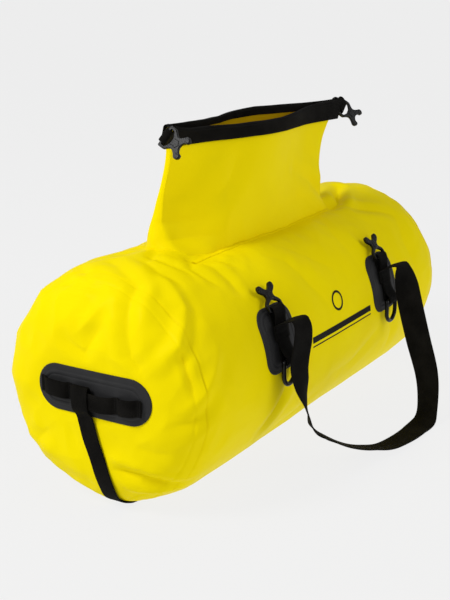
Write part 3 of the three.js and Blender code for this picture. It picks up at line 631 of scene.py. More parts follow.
def tube_skin():
    """The bag's round middle, open under the neck."""
    x = np.arange(-SEAM_X - 8 * MM, SEAM_X + 8.1 * MM, 2.8 * MM)
    r = end_radius(x)
    slope = np.gradient(r, x)
    tilt = -slope / np.hypot(1, slope)
    theta = np.linspace(0, FULL_TURN, AROUND, endpoint=False)
    under = np.where(np.abs(x) > SEAM_X - 1 * MM, -1.6 * MM, 0.0)
    xs, ts = np.repeat(x, AROUND), np.tile(theta, len(x))
    verts = skin_points(xs, np.repeat(tilt, AROUND), np.repeat(r, AROUND), ts, np.repeat(under, AROUND))
    margin = 9 * MM
    faces = []
    for face in grid_faces(len(x), AROUND, True):
        middle = verts[list(face)].mean(axis=0)
        inside = NECK_LEFT + margin < middle[0] < NECK_RIGHT - margin and middle[2] > TOP_ZONE
        if inside and NECK_FRONT + margin < middle[1] < NECK_BACK - margin:
            continue
        faces.append(face[::-1])
    obj = new_object("tube_skin", verts, faces, "skin", 80)
    thicken(obj, SKIN)
    settle(obj, "bag", "body_tube")


def end_skin(side):
    """One end of the bag, with its welded rim a little higher than the rest."""
    sign = SIGN[side]
    x, r = end_profile(100)
    x, r = x[:-1], r[:-1]
    dx, dr = np.gradient(x), np.gradient(r)
    tilt = -dr / np.hypot(dx, dr)
    count = len(x)
    reach = x - SEAM_X
    weld = 0.8 * MM * np.ones(count)
    weld = np.where(reach > WELD, 0.35 * MM, weld)
    weld = weld - 0.55 * MM * np.exp(-((reach - WELD) / (1.6 * MM)) ** 2)
    theta = np.linspace(0, FULL_TURN, AROUND, endpoint=False)
    verts = skin_points(
        sign * np.repeat(x, AROUND), sign * np.repeat(tilt, AROUND), np.repeat(r, AROUND),
        np.tile(theta, count), np.repeat(weld, AROUND))
    faces = grid_faces(count, AROUND, True)
    pole = verts[-AROUND:].mean(axis=0)
    verts = np.vstack([verts, pole])
    start = (count - 1) * AROUND
    faces += [(start + j, start + (j + 1) % AROUND, len(verts) - 1) for j in range(AROUND)]
    if sign > 0:
        faces = [f[::-1] for f in faces]
    obj = new_object(f"end_skin_{side}", verts, faces, "skin", 80)
    thicken(obj, SKIN)
    settle(obj, "bag", f"end_panel_{side}")


# ---- neck ----
def rim_height(x):
    """Height of the straight rim, before any sag."""
    return RIM_Z + RIM_SLOPE * x


def mouth_bump(x, front):
    """How far the mouth stands open at a place along it, 0 to 1."""
    reach = (x - MOUTH_CENTRE) / (MOUTH_REACH if front else BACK_REACH)
    return np.where(np.abs(reach) >= 1, 0, np.cos(np.clip(reach, -1, 1) * math.pi / 2) ** 2)


def mix(a, b, share):
    """The value at a share of the way from a to b."""
    return a + (b - a) * share


NECK_FOLD_LINES = [
    ([(-.225, -.048, .309), (-.20, -.048, .34), (-.175, -.046, .362), (-.124, -.043, .398),
      (-.10, -.04, .43)], 14, 4.5),
    ([(-.056, -.048, .312), (.009, -.047, .33), (.07, -.046, .338), (.139, -.045, .33)], 14, 2.2),
    ([(.057, -.045, .383), (.11, -.044, .36), (.153, -.045, .328), (.165, -.045, .312)], 9, 5),
    ([(-.237, -.045, .33), (-.255, -.02, .335), (-.245, .01, .36)], 10, 2.8),
    ([(-.237, -.05, .31), (-.25, -.03, .37), (-.245, -.02, .43)], 9, -1.6),
    ([(.16, .02, .33), (.1, .022, .36), (.03, .02, .38)], 14, 2.4),
    ([(-.2, .025, .33), (-.14, .02, .37), (-.1, .01, .41)], 14, 2.4),
]


def smooth_edge(rows, share):
    """An edge of the neck at a share of its height, with the table's corners softened."""
    return float(np.mean([table(rows, np.clip(share + step, 0, 1)) for step in np.linspace(-0.06, 0.06, 5)]))


def side_pinch(share, u):
    """How far back the neck's front is drawn toward its narrow left side. u is 0 there and 1 at the right."""
    ease = np.clip(np.asarray(u) / 0.26, 0, 1)
    full = mix(NECK_BACK - NECK_FRONT, 2 * MOUTH_FLAT, share)
    return (full - table(LEFT_SIDE_DEPTH, share)) * (1 - ease * ease * (3 - 2 * ease))


def neck_ring(share):
    """One closed outline of the neck at a share of its height, from the left end of the front."""
    left = smooth_edge(LEFT_EDGE, share)
    right = smooth_edge(RIGHT_EDGE, share)
    u = np.linspace(0, 1, NECK_LONG)
    rim_x = mix(MOUTH_LEFT, MOUTH_RIGHT, u)
    front_bump, back_bump = mouth_bump(rim_x, True), mouth_bump(rim_x, False)
    puff = 3 * MM * math.sin(math.pi * min(1, share * 1.1)) * np.sin(math.pi * u) ** 0.6
    front = mix(NECK_FRONT, MOUTH_Y - MOUTH_FLAT - MOUTH_FRONT * front_bump, share) - puff
    front = front + side_pinch(share, u)
    back = mix(NECK_BACK, MOUTH_Y + MOUTH_FLAT + MOUTH_BACK * back_bump, share) + puff
    s = np.linspace(0, 1, NECK_SIDE + 2)[1:-1]
    bow = np.sin(math.pi * s) * (3 * MM + 9 * MM * math.exp(-((share - 0.1) / 0.15) ** 2)) * (1 - share)
    x = np.concatenate([mix(left, right, u), right + 0.35 * bow, mix(right, left, u), left - bow])
    y = np.concatenate([front, mix(front[-1], back[-1], s), back[::-1], mix(back[0], front[0], s)])
    level = np.zeros(NECK_SIDE)
    sag = np.concatenate([table(FRONT_SAG, rim_x / MM), level, table(BACK_SAG, rim_x / MM)[::-1], level])
    z = mix(NECK_FOOT, rim_height(x) - sag, share)
    return soften_loop(np.stack([x, y, z], axis=1), 0.2)


def neck_wall(low, high, rows, name, node_name, rim):
    """The neck's fabric between two shares of its height. rim says that its upper edge is closed."""
    shares = np.linspace(low, high, rows)
    rings = np.array([neck_ring(s) for s in shares])
    count = rings.shape[1]
    verts = rings.reshape(-1, 3)
    along = np.roll(rings, -1, axis=1) - np.roll(rings, 1, axis=1)
    rise = np.array([neck_ring(min(1, s + 0.01)) - neck_ring(s - 0.01) for s in shares])
    normal = unit(np.cross(along, rise)).reshape(-1, 3)
    d = 1.3 * soft_noise(verts, 9, 11) + 1.8 * (0.25 - creased_noise(verts, 10, 12, 0.002))
    foot = np.exp(-((verts[:, 2] - 0.315) / 0.03) ** 2)
    d += 2.2 * foot * (0.25 - creased_noise(verts, 22, 13, 0.001))
    for line, width, depth in NECK_FOLD_LINES:
        d += fold(verts, line, width * MM, depth)
    fade = np.clip((0.452 - verts[:, 2]) / 0.03, 0, 1)
    outer = verts + normal * (d * MM * fade)[:, None]
    inner = outer - normal * NECK_SKIN
    faces = grid_faces(rows, count, True)
    offset = len(outer)
    faces += [tuple(offset + k for k in f[::-1]) for f in faces]
    if rim:
        top = (rows - 1) * count
        for j in range(count):
            a, b = top + j, top + (j + 1) % count
            faces.append((a, b, b + offset, a + offset))
    # The outer faces take the neck's brighter copy of the tarpaulin: painted light.
    obj = new_object(name, np.vstack([outer, inner]), faces, "neck", 80)
    # The inner faces take the dark gold copy of the tarpaulin: painted shade inside the neck.
    obj.data.materials.append(MATERIALS["inside_painted_shade"])
    for polygon in obj.data.polygons:
        polygon.material_index = int(min(polygon.vertices) >= offset)
    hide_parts(node_name)
    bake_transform(obj)


def neck():
    """The neck's skin, made as a lower and an upper piece that meet at NECK_SPLIT."""
    split = (NECK_SPLIT - NECK_FOOT) / (RIM_Z - NECK_FOOT)
    neck_wall(0.0, split + 0.004, 26, "neck_skin_lower", "neck_lower", False)
    neck_wall(split, 0.985, 50, "neck_skin_upper",
              "neck_upper", True)


def neck_weld():
    """The welded flange of the neck, a thin edge that lies on the bag along the neck's front."""
    columns = 120
    section = [(1.0, -0.4), (1.0, 0.9), (4.0, 1.3), (6.2, 0.9), (6.6, -0.4)]
    places = np.linspace(NECK_LEFT + 2 * MM, NECK_RIGHT - 1 * MM, columns)
    x = np.repeat(places, len(section))
    out, rise = (np.tile([row[k] for row in section], columns) * MM for k in (0, 1))
    theta = np.arccos(np.clip((out - NECK_FRONT) / RADIUS, -1, 1))
    verts = skin_points(x, 0 * x, np.full(len(x), RADIUS), theta, rise)
    faces = grid_faces(columns, len(section), False)
    # The flange takes the neck's brighter copy of the tarpaulin: painted light.
    obj = new_object("neck_flange", verts, faces, "neck")
    settle(obj, "bag")


# ---- mouth band ----
def rim_sag(x, front):
    """How far the rim sags below its straight line."""
    return float(table(FRONT_SAG if front else BACK_SAG, x / MM))


def wall_y(x, z, front):
    """Where the neck's front or back wall lies, from front to back."""
    share = (z - NECK_FOOT) / (rim_height(x) - rim_sag(x, front) - NECK_FOOT)
    left, right = table(LEFT_EDGE, share), table(RIGHT_EDGE, share)
    u = min(1, max(0, (x - left) / (right - left)))
    rim_x = mix(MOUTH_LEFT, MOUTH_RIGHT, u)
    sign = -1 if front else 1
    base = NECK_FRONT if front else NECK_BACK
    reach = MOUTH_FRONT if front else MOUTH_BACK
    rim = MOUTH_Y + sign * (MOUTH_FLAT + reach * mouth_bump(rim_x, front))
    return mix(base, rim, share) + (float(side_pinch(share, u)) if front else 0)


def slant_back(x, drop):
    """How far a point of the mouth's band is moved from its right end, by its depth below the rim."""
    return BAND_SLANT * max(0, (x - BAND_SLANT_START) / (MOUTH_RIGHT - BAND_SLANT_START)) * drop


def band_share(x, front):
    """How much of the band's full height is left where its rim sags, its lower edge being straight."""
    return (BAND_HEIGHT - rim_sag(x, front)) / BAND_HEIGHT


def band_place(x, down, out, front, slant=True):
    """A point of the mouth's band, from its place along the rim, its depth below it and its stand-off."""
    z = rim_height(x) - rim_sag(x, front) - down
    if slant:
        x = x - slant_back(x, down)
    return x, wall_y(x, z, front) + (-out if front else out), z


def mouth_band(face):
    """Webbing folded over the rim: deep outside, a narrow turn inside."""
    front = face == "front"
    sign = SIGN[face]
    x = np.linspace(MOUTH_LEFT + 1 * MM, MOUTH_RIGHT - 1 * MM, 190)
    outer, inner, inside = BAND_OUTER, BAND_INNER, (8 if front else 11) * MM
    deep = -BAND_HEIGHT
    reach = [(deep, inner), (deep - 0.6 * MM, (inner + outer) / 2), (deep, outer),
             (deep * 0.75, outer + 0.3 * MM), (deep * 0.5, outer), (deep * 0.25, outer),
             (-2 * MM, outer), (BAND_TOP - 1 * MM, outer - 1 * MM), (BAND_TOP, outer - 3 * MM),
             (BAND_TOP, 0.5 * MM), (BAND_TOP - 1 * MM, -1.8 * MM), (-3 * MM, -2.6 * MM), (-inside, -2.4 * MM),
             (-inside, -1.3 * MM), (-3 * MM, -1.3 * MM), (-1.5 * MM, 0.2 * MM), (-1.5 * MM, inner - 0.6 * MM),
             (-4 * MM, inner)]
    verts = []
    uv = []
    wave = soft_noise(np.stack([x, 0 * x, 0 * x + sign], axis=1), 22, 21)
    flat = np.clip((np.abs(x) - 0.14) / 0.06, 0, 1)
    for i, place in enumerate(x):
        run = 0.0
        for k, (drop, out) in enumerate(reach):
            drop *= band_share(place, front)
            shrink = 1 - 0.4 * flat[i] if out < 0 else 1
            sway = 0.6 * MM * wave[i] * (drop / -BAND_HEIGHT)
            px, py, pz = band_place(place, -drop, out * shrink + sway, front)
            verts.append((px, py, pz + 0.5 * MM * wave[i]))
            if k:
                run += math.hypot(drop - reach[k - 1][0], out - reach[k - 1][1])
            uv.append((place, run))
    faces = closed_faces(len(x), len(reach))
    if not front:
        faces = [f[::-1] for f in faces]
    obj = new_object(f"band_{face}", verts, faces, "webbing", 50, uv)
    settle(obj, "mouth", f"mouth_band_{face}")
    for name, drop in (("low", BAND_HEIGHT - 2.5 * MM), ("high", 4 * MM)):
        line = [band_place(p, drop * band_share(p, front), outer + 0.1 * MM, front)
                for p in np.linspace(MOUTH_LEFT + 4 * MM, MOUTH_RIGHT - 4 * MM, 40)]
        stitches(f"band_stitch_{face}_{name}", line, (0, sign, 0), "mouth", 3 * MM, 2 * MM, 0.4 * MM)


def stiffener(face):
    """The plastic strip that keeps one side of the mouth straight, hidden between the neck and the band."""
    front = face == "front"
    section = [(3 * MM, 2.2 * MM), (3 * MM, 3.2 * MM), (17 * MM, 3.2 * MM), (17 * MM, 2.2 * MM)]
    places = np.linspace(MOUTH_LEFT + 12 * MM, MOUTH_RIGHT - 34 * MM, 80)
    verts = [band_place(p, drop * band_share(p, front), out, front, False)
             for p in places for drop, out in section]
    faces = closed_faces(len(places), len(section))
    if not front:
        faces = [f[::-1] for f in faces]
    obj = new_object(f"stiffener_{face}", verts, faces, "strip")
    settle(obj, "mouth", f"mouth_stiffener_{face}")


# ---- buckles and rings ----
def outline_solid(loops, thickness, bevel):
    """The mesh of a flat moulded piece with rounded edges, from its outline and its hole's in millimetres."""
    curve = bpy.data.curves.new("outline", "CURVE")
    curve.dimensions = "2D"
    curve.fill_mode = "BOTH"
    curve.extrude = thickness / 2 - bevel
    curve.bevel_depth = bevel
    curve.bevel_resolution = 2
    curve.offset = -bevel
    for loop in loops:
        spline = curve.splines.new("POLY")
        spline.points.add(len(loop) - 1)
        for point, (x, y) in zip(spline.points, loop):
            point.co = (x * MM, y * MM, 0, 1)
        spline.use_cyclic_u = True
    obj = add("outline", curve)
    mesh = evaluated(obj)
    bpy.data.objects.remove(obj)
    return mesh


def rounded(points, radius):
    """Rounds the corners of a closed outline."""
    points = [np.asarray(p, float) for p in points]
    line = []
    for i, corner in enumerate(points):
        before, after = points[i - 1], points[(i + 1) % len(points)]
        cut = min(radius, 0.42 * np.linalg.norm(before - corner), 0.42 * np.linalg.norm(after - corner))
        a = corner + unit(before - corner) * cut
        b = corner + unit(after - corner) * cut
        for t in np.linspace(0, 1, 4):
            line.append((1 - t) ** 2 * a + 2 * t * (1 - t) * corner + t ** 2 * b)
    return line


def join(name, meshes, place):
    """Makes one plastic piece of several, moved to its place."""
    verts, faces = [], []
    for mesh in meshes:
        base = len(verts)
        mesh.transform(place)
        verts += [v.co.copy() for v in mesh.vertices]
        faces += [tuple(base + k for k in p.vertices) for p in mesh.polygons]
    return new_object(name, verts, faces, "plastic", 45)


def both_sides(points):
    """A closed outline from its right half."""
    return points + [(-x, y) for x, y in points[::-1]]


def buckle(name, w, place, body):
    """The male half of a side-release buckle: bar, body, two sprung side arms and a middle guide."""
    outer = [(w, -2), (w, 8.5), (w - 3, 12), (9, 16.5), (8.4, 19), (9.6, 22), (w - 3, 25.5), (w + 1, 29),
             (w + 1, 33.5), (w - 2.5, 37), (w - 7, 36), (7, 31), (2, 28)]
    opening = [(4 - w, 2), (4 - w, 7.5), (-4, 12.5), (4, 12.5), (w - 4, 7.5), (w - 4, 2)]
    rim = [(-5, 14.5), (5, 14.5), (4.4, 19), (5.6, 23), (0.5, 26), (-0.5, 26), (-5.6, 23), (-4.4, 19)]
    pad = [(w - 6, 28.5), (w - 3, 27.8), (w - 0.4, 30.6), (w - 0.4, 34), (w - 3, 36.6), (w - 6.2, 35.4)]
    loops = [rounded(both_sides(outer), 2), rounded(opening, 1.5)]
    parts = [outline_solid(loops, 4.4 * MM, 0.8 * MM), outline_solid([rounded(rim, 1.2)], 6 * MM, 0.9 * MM)]
    for sign in (-1, 1):
        mirrored = [(sign * x, y) for x, y in pad]
        parts.append(outline_solid([rounded(mirrored, 1)], 5.6 * MM, 0.7 * MM))
    settle(join(name, parts, place), body, body)


RING_HALF = 19 * MM
RING_HEIGHT = 40 * MM
RING_SECTION = 6.4 * MM
RING_SIDES = 12


def ring(name, place, body):
    """A moulded D-ring with a round section, hanging from its straight bar."""
    r = RING_HALF - RING_SECTION / 2
    foot = -(RING_HEIGHT - RING_HALF) + RING_SECTION / 2
    path = [(-r, 0), (-r, foot)]
    path += [(-r * math.cos(a), foot - r * math.sin(a)) for a in np.linspace(0, math.pi, 26)[1:-1]]
    path += [(r, foot), (r, 0)]
    path = [np.array([x, 0, z]) for x, z in path]
    dense = []
    for a, b in zip(path, path[1:]):
        dense += [a + (b - a) * t for t in np.linspace(0, 1, 4, endpoint=False)]
    dense += [path[-1] + (path[0] - path[-1]) * t for t in np.linspace(0, 1, 20)[:-1]]
    points = np.array(dense)
    for _ in range(3):
        points = soften_loop(points, 0.25)
    along = unit(np.roll(points, -1, axis=0) - np.roll(points, 1, axis=0))
    side = np.array([0.0, 1.0, 0.0])
    verts = []
    for i, point in enumerate(points):
        out = np.cross(along[i], side)
        for angle in np.arange(RING_SIDES) * FULL_TURN / RING_SIDES:
            squared = 1 + 0.1 * math.cos(2 * angle) ** 2
            radial = side * math.cos(angle) + out * math.sin(angle)
            verts.append(place @ Vector(point + radial * RING_SECTION / 2 * squared * 0.96))
    faces = [tuple(k % len(verts) for k in f) for f in grid_faces(len(points) + 1, RING_SIDES, True)]
    settle(new_object(name, verts, faces, "plastic", 60), body, body)


# Where each mouth buckle's bar is, in millimetres, the bar's direction and the direction of its arms.
MOUTH_BUCKLES = {
    "left": ((-264, -31, 471), (-0.4, 0.45, -0.8), (-0.19, -0.89, -0.41)),
    "right": ((255, -24, 456), (-0.7, 0, -0.7), (0.56, -0.61, -0.56)),
}


def mouth_end(side):
    """The buckle at one end of the mouth and the webbing tab that holds it."""
    at, bar, arms = MOUTH_BUCKLES[side]
    at = np.array(at) * MM
    x = unit(bar)
    y = unit(np.array(arms) - x * np.dot(arms, x))
    buckle(f"mouth_clip_{side}", 15, frame_of(x, y, np.cross(x, y), at), f"mouth_buckle_{side}")
    end_x = MOUTH_LEFT + 6 * MM if side == "left" else MOUTH_RIGHT - 18 * MM
    anchor = np.array([end_x, MOUTH_Y, rim_height(end_x) - BAND_HEIGHT / 2])
    toward = anchor - at
    toward = unit(toward - x * np.dot(toward, x))
    normal = np.cross(x, toward)
    loop = 4.6 * MM
    turn = np.linspace(-math.pi / 2, -3 * math.pi / 2, 9)
    path = [anchor - normal * 5.5 * MM - toward * 4 * MM, at + toward * 12 * MM - normal * loop * 1.05]
    path += [at + loop * (toward * math.cos(angle) + normal * math.sin(angle)) for angle in turn]
    path += [at + toward * 12 * MM + normal * loop * 1.05, anchor + normal * 5.5 * MM - toward * 4 * MM]
    band_up = np.array([0.0, 0.0, 1.0]) * (1 if x[2] > 0 else -1)
    across = [band_up] + [x] * (len(path) - 2) + [band_up]
    widths = np.array([24, 20] + [18] * len(turn) + [20, 24]) * MM
    obj = strap(f"tab_{side}", path, across, widths, 1.6 * MM, 1.5 * MM)
    settle(obj, "mouth", f"mouth_tab_{side}")


# ---- patches ----
def rounded_plate(width, height, corner, inset):
    """Points round a rounded rectangle pulled in by inset, evenly spread by angle and edge."""
    r = max(corner - inset, 0.0)
    w, h = width / 2 - corner, height / 2 - corner
    points = []
    corners = [(w, h, 0), (-w, h, math.pi / 2), (-w, -h, math.pi), (w, -h, 3 * math.pi / 2)]
    for i, (cx, cy, start) in enumerate(corners):
        for t in np.linspace(0, math.pi / 2, 9):
            points.append((cx + r * math.cos(start + t), cy + r * math.sin(start + t)))
        nx, ny, next_start = corners[(i + 1) % 4]
        a = np.array(points[-1])
        b = np.array([nx + r * math.cos(next_start), ny + r * math.sin(next_start)])
        points += [tuple(a + (b - a) * t) for t in np.linspace(0, 1, 16)[1:-1]]
    return np.array(points)


# The patches' profiles: steps in from the edge and their heights, in millimetres.
PATCH_EDGE = [(0.0, -0.6), (0.0, 0.6), (0.25, 1.0), (0.8, 1.2)]
END_STEPS = PATCH_EDGE + [(7.0, 1.25), (7.8, 1.35), (8.8, 2.2), (9.6, 2.45), (12.5, 2.5), (12.9, 2.15),
                          (13.7, 2.15), (14.1, 2.5), (16.5, 2.5)]
SIDE_STEPS = PATCH_EDGE + [(5.0, 1.25), (5.8, 1.35), (6.8, 2.2), (7.6, 2.45), (10.5, 2.5), (10.9, 2.2),
                           (11.6, 2.2), (12.0, 2.5), (20.0, 2.5)]


def plate(name, width, height, corner, to_space, steps):
    """A moulded patch: flat rim, raised middle and a thin pressed line round it."""
    rings = []
    for inset, rise in steps:
        outline = rounded_plate(width, height, corner, inset * MM)
        rings.append([(u, v, rise * MM) for u, v in outline])
    last = np.array(rings[-1])
    for share in (0.8, 0.6, 0.4, 0.2, 0.05):
        rings.append([(u * share, v * share, h) for u, v, h in last])
    count = len(rings[0])
    verts = [to_space(u, v, h) for loop in rings for u, v, h in loop]
    faces = grid_faces(len(rings), count, True)
    faces.append(tuple(range((len(rings) - 1) * count, len(rings) * count)))
    return new_object(name, verts, faces, "patch", 50)


def end_patch(side):
    """The long moulded patch on one end of the bag."""
    sign = SIGN[side]

    def to_space(u, v, h):
        y = sign * (END_PATCH_SHIFT + u)
        z = END_PATCH_Z + v
        return (sign * float(end_depth(math.hypot(y, z - AXIS_Z), 0.9 * MM + h)), y, z)

    obj = plate(f"end_plate_{side}", *END_PATCH_SIZE, to_space, END_STEPS)
    settle(obj, "bag", f"end_patch_{side}")


def on_side(up, out, face_sign):
    """A point on a side patch: up from its centre and out from its face, as (y, z)."""
    angle = SIDE_ANGLE + up / PATCH_FACE
    radius = PATCH_FACE + out
    return face_sign * radius * math.cos(angle), AXIS_Z + radius * math.sin(angle)


def side_patch(face, side):
    """One of the four moulded patches on the sides of the bag."""
    sign = SIGN[face]

    def to_space(u, v, h):
        return (SIDE_PATCH_X[side] - sign * u, *on_side(v, h - 2.3 * MM, sign))

    obj = plate(f"{face}_plate_{side}", *SIDE_PATCH_SIZE, to_space, SIDE_STEPS)
    settle(obj, "bag", f"{face}_patch_{side}")


# ---- webbing ----
def loop_round(up, sign, start, end):
    """Points round a loop's bar, as (up, out) in metres, from one angle to another."""
    return [(up + sign * LOOP_RADIUS * math.sin(a), LOOP_STAND - LOOP_RADIUS * math.cos(a))
            for a in np.linspace(start, end, 9)]


def patch_webbing(face, side):
    """Webbing on the middle of a side patch, looped at its top for the buckle and below for the ring."""
    sign = SIGN[face]
    x = SIDE_PATCH_X[side]
    path = [(up * MM, out * MM) for up, out in ((-1, 3.4), (-9, 3.8), (-18, 6.6), (-25, 11))]
    path += loop_round(LOW_LOOP, -1, math.pi, 0.25)
    path += [(LOW_LOOP * share, 1.6 * MM) for share in (0.55, 0.25)]
    path += [(TOP_LOOP * share, 1.6 * MM) for share in (0.1, 0.4, 0.7)]
    path += loop_round(TOP_LOOP, 1, 0.25, math.pi)
    path += [(up * MM, out * MM) for up, out in ((31, 10.6), (22, 6.4), (12, 3.8), (3, 3.4))]
    points = [(x, *on_side(up, out, sign)) for up, out in path]
    obj = strap(f"{face}_patch_strap_{side}", points, (1, 0, 0), PATCH_STRAP_WIDTH, 1.6 * MM, 1.5 * MM)
    settle(obj, "bag", f"{face}_webbing_{side}")
    for up in (-14, 14, 17):
        row = [(x + k * MM, *on_side(up * MM, 5.4 * MM, sign)) for k in (-12, 0, 12)]
        name = f"{face}_patch_bartack_{side}_{up + 20}"
        stitches(name, row, (0, sign, 0.3), "bag", 1.6 * MM, 0.6 * MM, 0.4 * MM)


def daisy_rise(y):
    """How far the end's webbing stands off its patch, at a place across the bag."""
    for start, end in DAISY_ARCHES:
        if end <= y <= start:
            share = (start - y) / (start - end)
            return DAISY_RISE * math.sin(math.pi * min(1, max(0, share))) ** 0.4
    return 0.0


def end_webbing(side):
    """Webbing sewn down between three arches on the end patch."""
    sign = SIGN[side]
    ys = np.arange(DAISY_ENDS[0], DAISY_ENDS[1] - 0.1 * MM, -1.5 * MM)
    out = np.array([daisy_rise(y) for y in ys])
    soften_line(out, 2)
    lift = table(DAISY_LIFT, ys / MM)
    soften_line(lift, 3)
    points = np.stack([sign * (DAISY_FACE + 0.9 * MM + out), -sign * ys, DAISY_Z + lift], axis=1)
    obj = strap(f"end_loops_{side}", points, (0, 0, 1), DAISY_WIDTH, 1.7 * MM, 1.4 * MM)
    settle(obj, "bag", f"end_webbing_{side}")
    for number, y in enumerate((65, 62.5, 22.2, 19.8, -48.5, -51.5, -82.5, -86)):
        x = sign * (DAISY_FACE + 1.9 * MM)
        row = [(x, -sign * y * MM, DAISY_Z + k * MM + table(DAISY_LIFT, y)) for k in (-9.5, 0, 9.5)]
        stitches(f"end_bartack_{side}_{number}", row, (sign, 0, 0), "bag", 1.8 * MM, 0.5 * MM, 0.45 * MM)


def under_strap():
    """25 mm webbing from one end patch to the other, under the bag, looped over the middle arches."""
    def face(z):
        return float(end_depth(AXIS_Z - z))

    near = DAISY_FACE + 2.6 * MM
    far = DAISY_FACE + DAISY_RISE + 3.4 * MM
    half = [(near, 0.151), (near + 0.4 * MM, 0.165), (near + 1.2 * MM, 0.1745), ((near + far) / 2, 0.1783),
            (far - 1 * MM, 0.175), (far, 0.167), (far - 0.2 * MM, 0.155), (far - 2.4 * MM, 0.146),
            (face(0.137) + 5.6 * MM, 0.1375)]
    half += [(face(z) + 3.4 * MM, z) for z in (0.128, 0.105)]
    half += [(face(z) + 1.8 * MM, z) for z in (0.08, 0.055, 0.036, 0.022, 0.012)]
    half += [(0.358, 0.0045), (0.348, 0.0022), (0.33, 0.0014), (0.2, 0.0012)]
    left = [(-x, float(strap_lean(z)), z) for x, z in half]
    right = [(-x, y, z) for x, y, z in left[::-1]]
    points = left + [(0, float(strap_lean(0)), 0.0012)] + right
    obj = strap("under_webbing", points, (0, 1, 0), UNDER_STRAP_WIDTH, 1.5 * MM)
    settle(obj, "bag", "under_strap")


def handle(face):
    """A carry handle: sewn under both patch webbings, hanging down the side and lying on the floor."""
    sign = SIGN[face]
    left, right = SIDE_PATCH_X["left"] / MM, SIDE_PATCH_X["right"] / MM
    axis_y, axis_z = HANDLE_AXIS[0] / MM, HANDLE_AXIS[1] / MM

    def tail(x, turned):
        sewn = [on_side(up * MM, out * MM, -1) for up, out in ((-2, 2.6), (5, 2.9), (12, 4.6), (18, 8.0))]
        places = [(x, y / MM, z / MM) for y, z in sewn] + [(x, axis_y + 1, axis_z + 0.8)]
        return [(place, (turned, 0, 0)) for place in places][::turned]

    # Places along the webbing in millimetres, each with the direction of the webbing's width.

    stations = tail(left, 1) + [
        ((left - 1, axis_y - 6, axis_z - 2), (1, -0.05, 0)),
        ((left - 2, axis_y - 9.5, axis_z - 12), (0.98, -0.15, 0)),
        ((left - 4, axis_y - 10, axis_z - 30), (0.97, -0.2, 0)),
        ((left - 6, axis_y - 7, 172), (0.97, -0.2, 0)),
        ((left - 2, axis_y - 9, 145), (1, 0, 0)),
        ((left + 2, axis_y - 12.5, 122), (0.9, 0.36, -0.1)),
        ((left + 5, axis_y - 15, 104), (0.84, 0.5, -0.2)),
        ((left + 13, axis_y - 18, 82), (0.82, 0.52, -0.25)),
        ((-158, -203, 67), (0.8, 0.55, -0.26)),
        ((-134, -208, 51), (0.75, 0.62, -0.24)),
        ((-107, -214, 35), (0.66, 0.72, -0.2)),
        ((-80, -221, 22), (0.54, 0.82, -0.18)),
        ((-54, -229, 13), (0.46, 0.87, -0.18)),
        ((-26, -242, 7), (0.42, 0.9, -0.14)),
        ((16, -249, 4), (0.4, 0.92, -0.1)),
        ((60, -252, 3), (0.4, 0.92, -0.05)),
        ((104, -252, 5.5), (0.38, 0.92, 0.05)),
        ((122, -249, 30), (0.24, 0.96, -0.1)),
        ((134, -240, 70), (0, 0.98, -0.2)),
        ((145, -219, 120), (-0.28, 0.92, -0.28)),
        ((148, -203, 170), (-0.45, 0.84, -0.3)),
        ((149, -195, 200), (-0.65, 0.7, -0.25)),
        ((148, -189, 222), (-0.88, 0.36, -0.1)),
        ((right, axis_y - 5, axis_z - 0.5), (-1, 0.1, 0)),
    ] + tail(right, -1)
    points = [(x * MM, -sign * y * MM, z * MM) for (x, y, z), _ in stations]
    across = [(x, -sign * y, z) for _, (x, y, z) in stations]
    obj = strap(f"{face}_carry_strap", points, across, HANDLE_WIDTH, 1.9 * MM, 3 * MM, 0.5 * MM)
    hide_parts(f"{face}_handle")
    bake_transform(obj)


def side_fittings():
    """On each side of the bag, the patches with their webbing, buckles and rings, and the handle."""
    lean = SIDE_ANGLE + TOP_LOOP / RADIUS + 0.07
    for face in ("front", "back"):
        sign = SIGN[face]
        for side, x in SIDE_PATCH_X.items():
            side_patch(face, side)
            patch_webbing(face, side)
            up = Vector((0, -sign * math.sin(lean), math.cos(lean)))
            across = Vector((1, 0, 0))
            place = frame_of(across, up, across.cross(up), (x, *on_side(TOP_LOOP, LOOP_STAND, sign)))
            buckle(f"{face}_clip_{side}", 18.5, place, f"{face}_buckle_{side}")
            place = Matrix.Translation((x, *on_side(LOW_LOOP, LOOP_STAND, sign)))
            ring(f"{face}_dring_{side}", place, f"{face}_ring_{side}")
        handle(face)


# ---- print ----
def printed(name, x, up, faces):
    """A printed mark on the front of the skin. up is the distance up the skin from the axis height."""
    flat = np.zeros(len(x))
    verts = skin_points(x, flat, np.full(len(x), RADIUS), up / RADIUS, flat + 0.35 * MM)
    settle(new_object(name, verts, faces, "ink", 60), "bag")


def print_strip(name, x0, x1, low, high):
    columns = max(2, int((x1 - x0) / (3 * MM)))
    rows = max(2, int((high - low) / (2 * MM)) + 1)
    up = np.repeat(np.linspace(low, high, rows), columns)
    printed(name, np.tile(np.linspace(x0, x1, columns), rows), up, grid_faces(rows, columns, False))


def print_ring(name, x, up, outer, inner):
    turns = np.linspace(0, FULL_TURN, 48, endpoint=False)
    radii = np.repeat(np.linspace(inner, outer, 4), len(turns))
    turns = np.tile(turns, 4)
    faces = [f[::-1] for f in grid_faces(4, 48, True)]
    printed(name, x + radii * np.cos(turns), up + radii * np.sin(turns), faces)


def generic_print():
    """A plain ring over two plain stripes, with no meaning."""
    print_ring("print_ring", -8 * MM, 54 * MM, 15 * MM, 11.5 * MM)
    print_strip("print_stripe_wide", -98 * MM, 92 * MM, 13 * MM, 22 * MM)
    print_strip("print_stripe_thin", -98 * MM, 92 * MM, 7 * MM, 9 * MM)


# ---- stage ----
FLOOR_HALF = 90.0
FLOOR_GLOW = 0.83
LIGHT_TARGET = (-0.1, 0, 0.2)
CAMERA_PLACE = Vector((-1.420, -0.830, 0.6645))
CAMERA_TARGET = Vector((-0.0733, 0, 0.2043))
CAMERA_LENS = 66.9
CAMERA_ROLL = math.radians(-0.15)


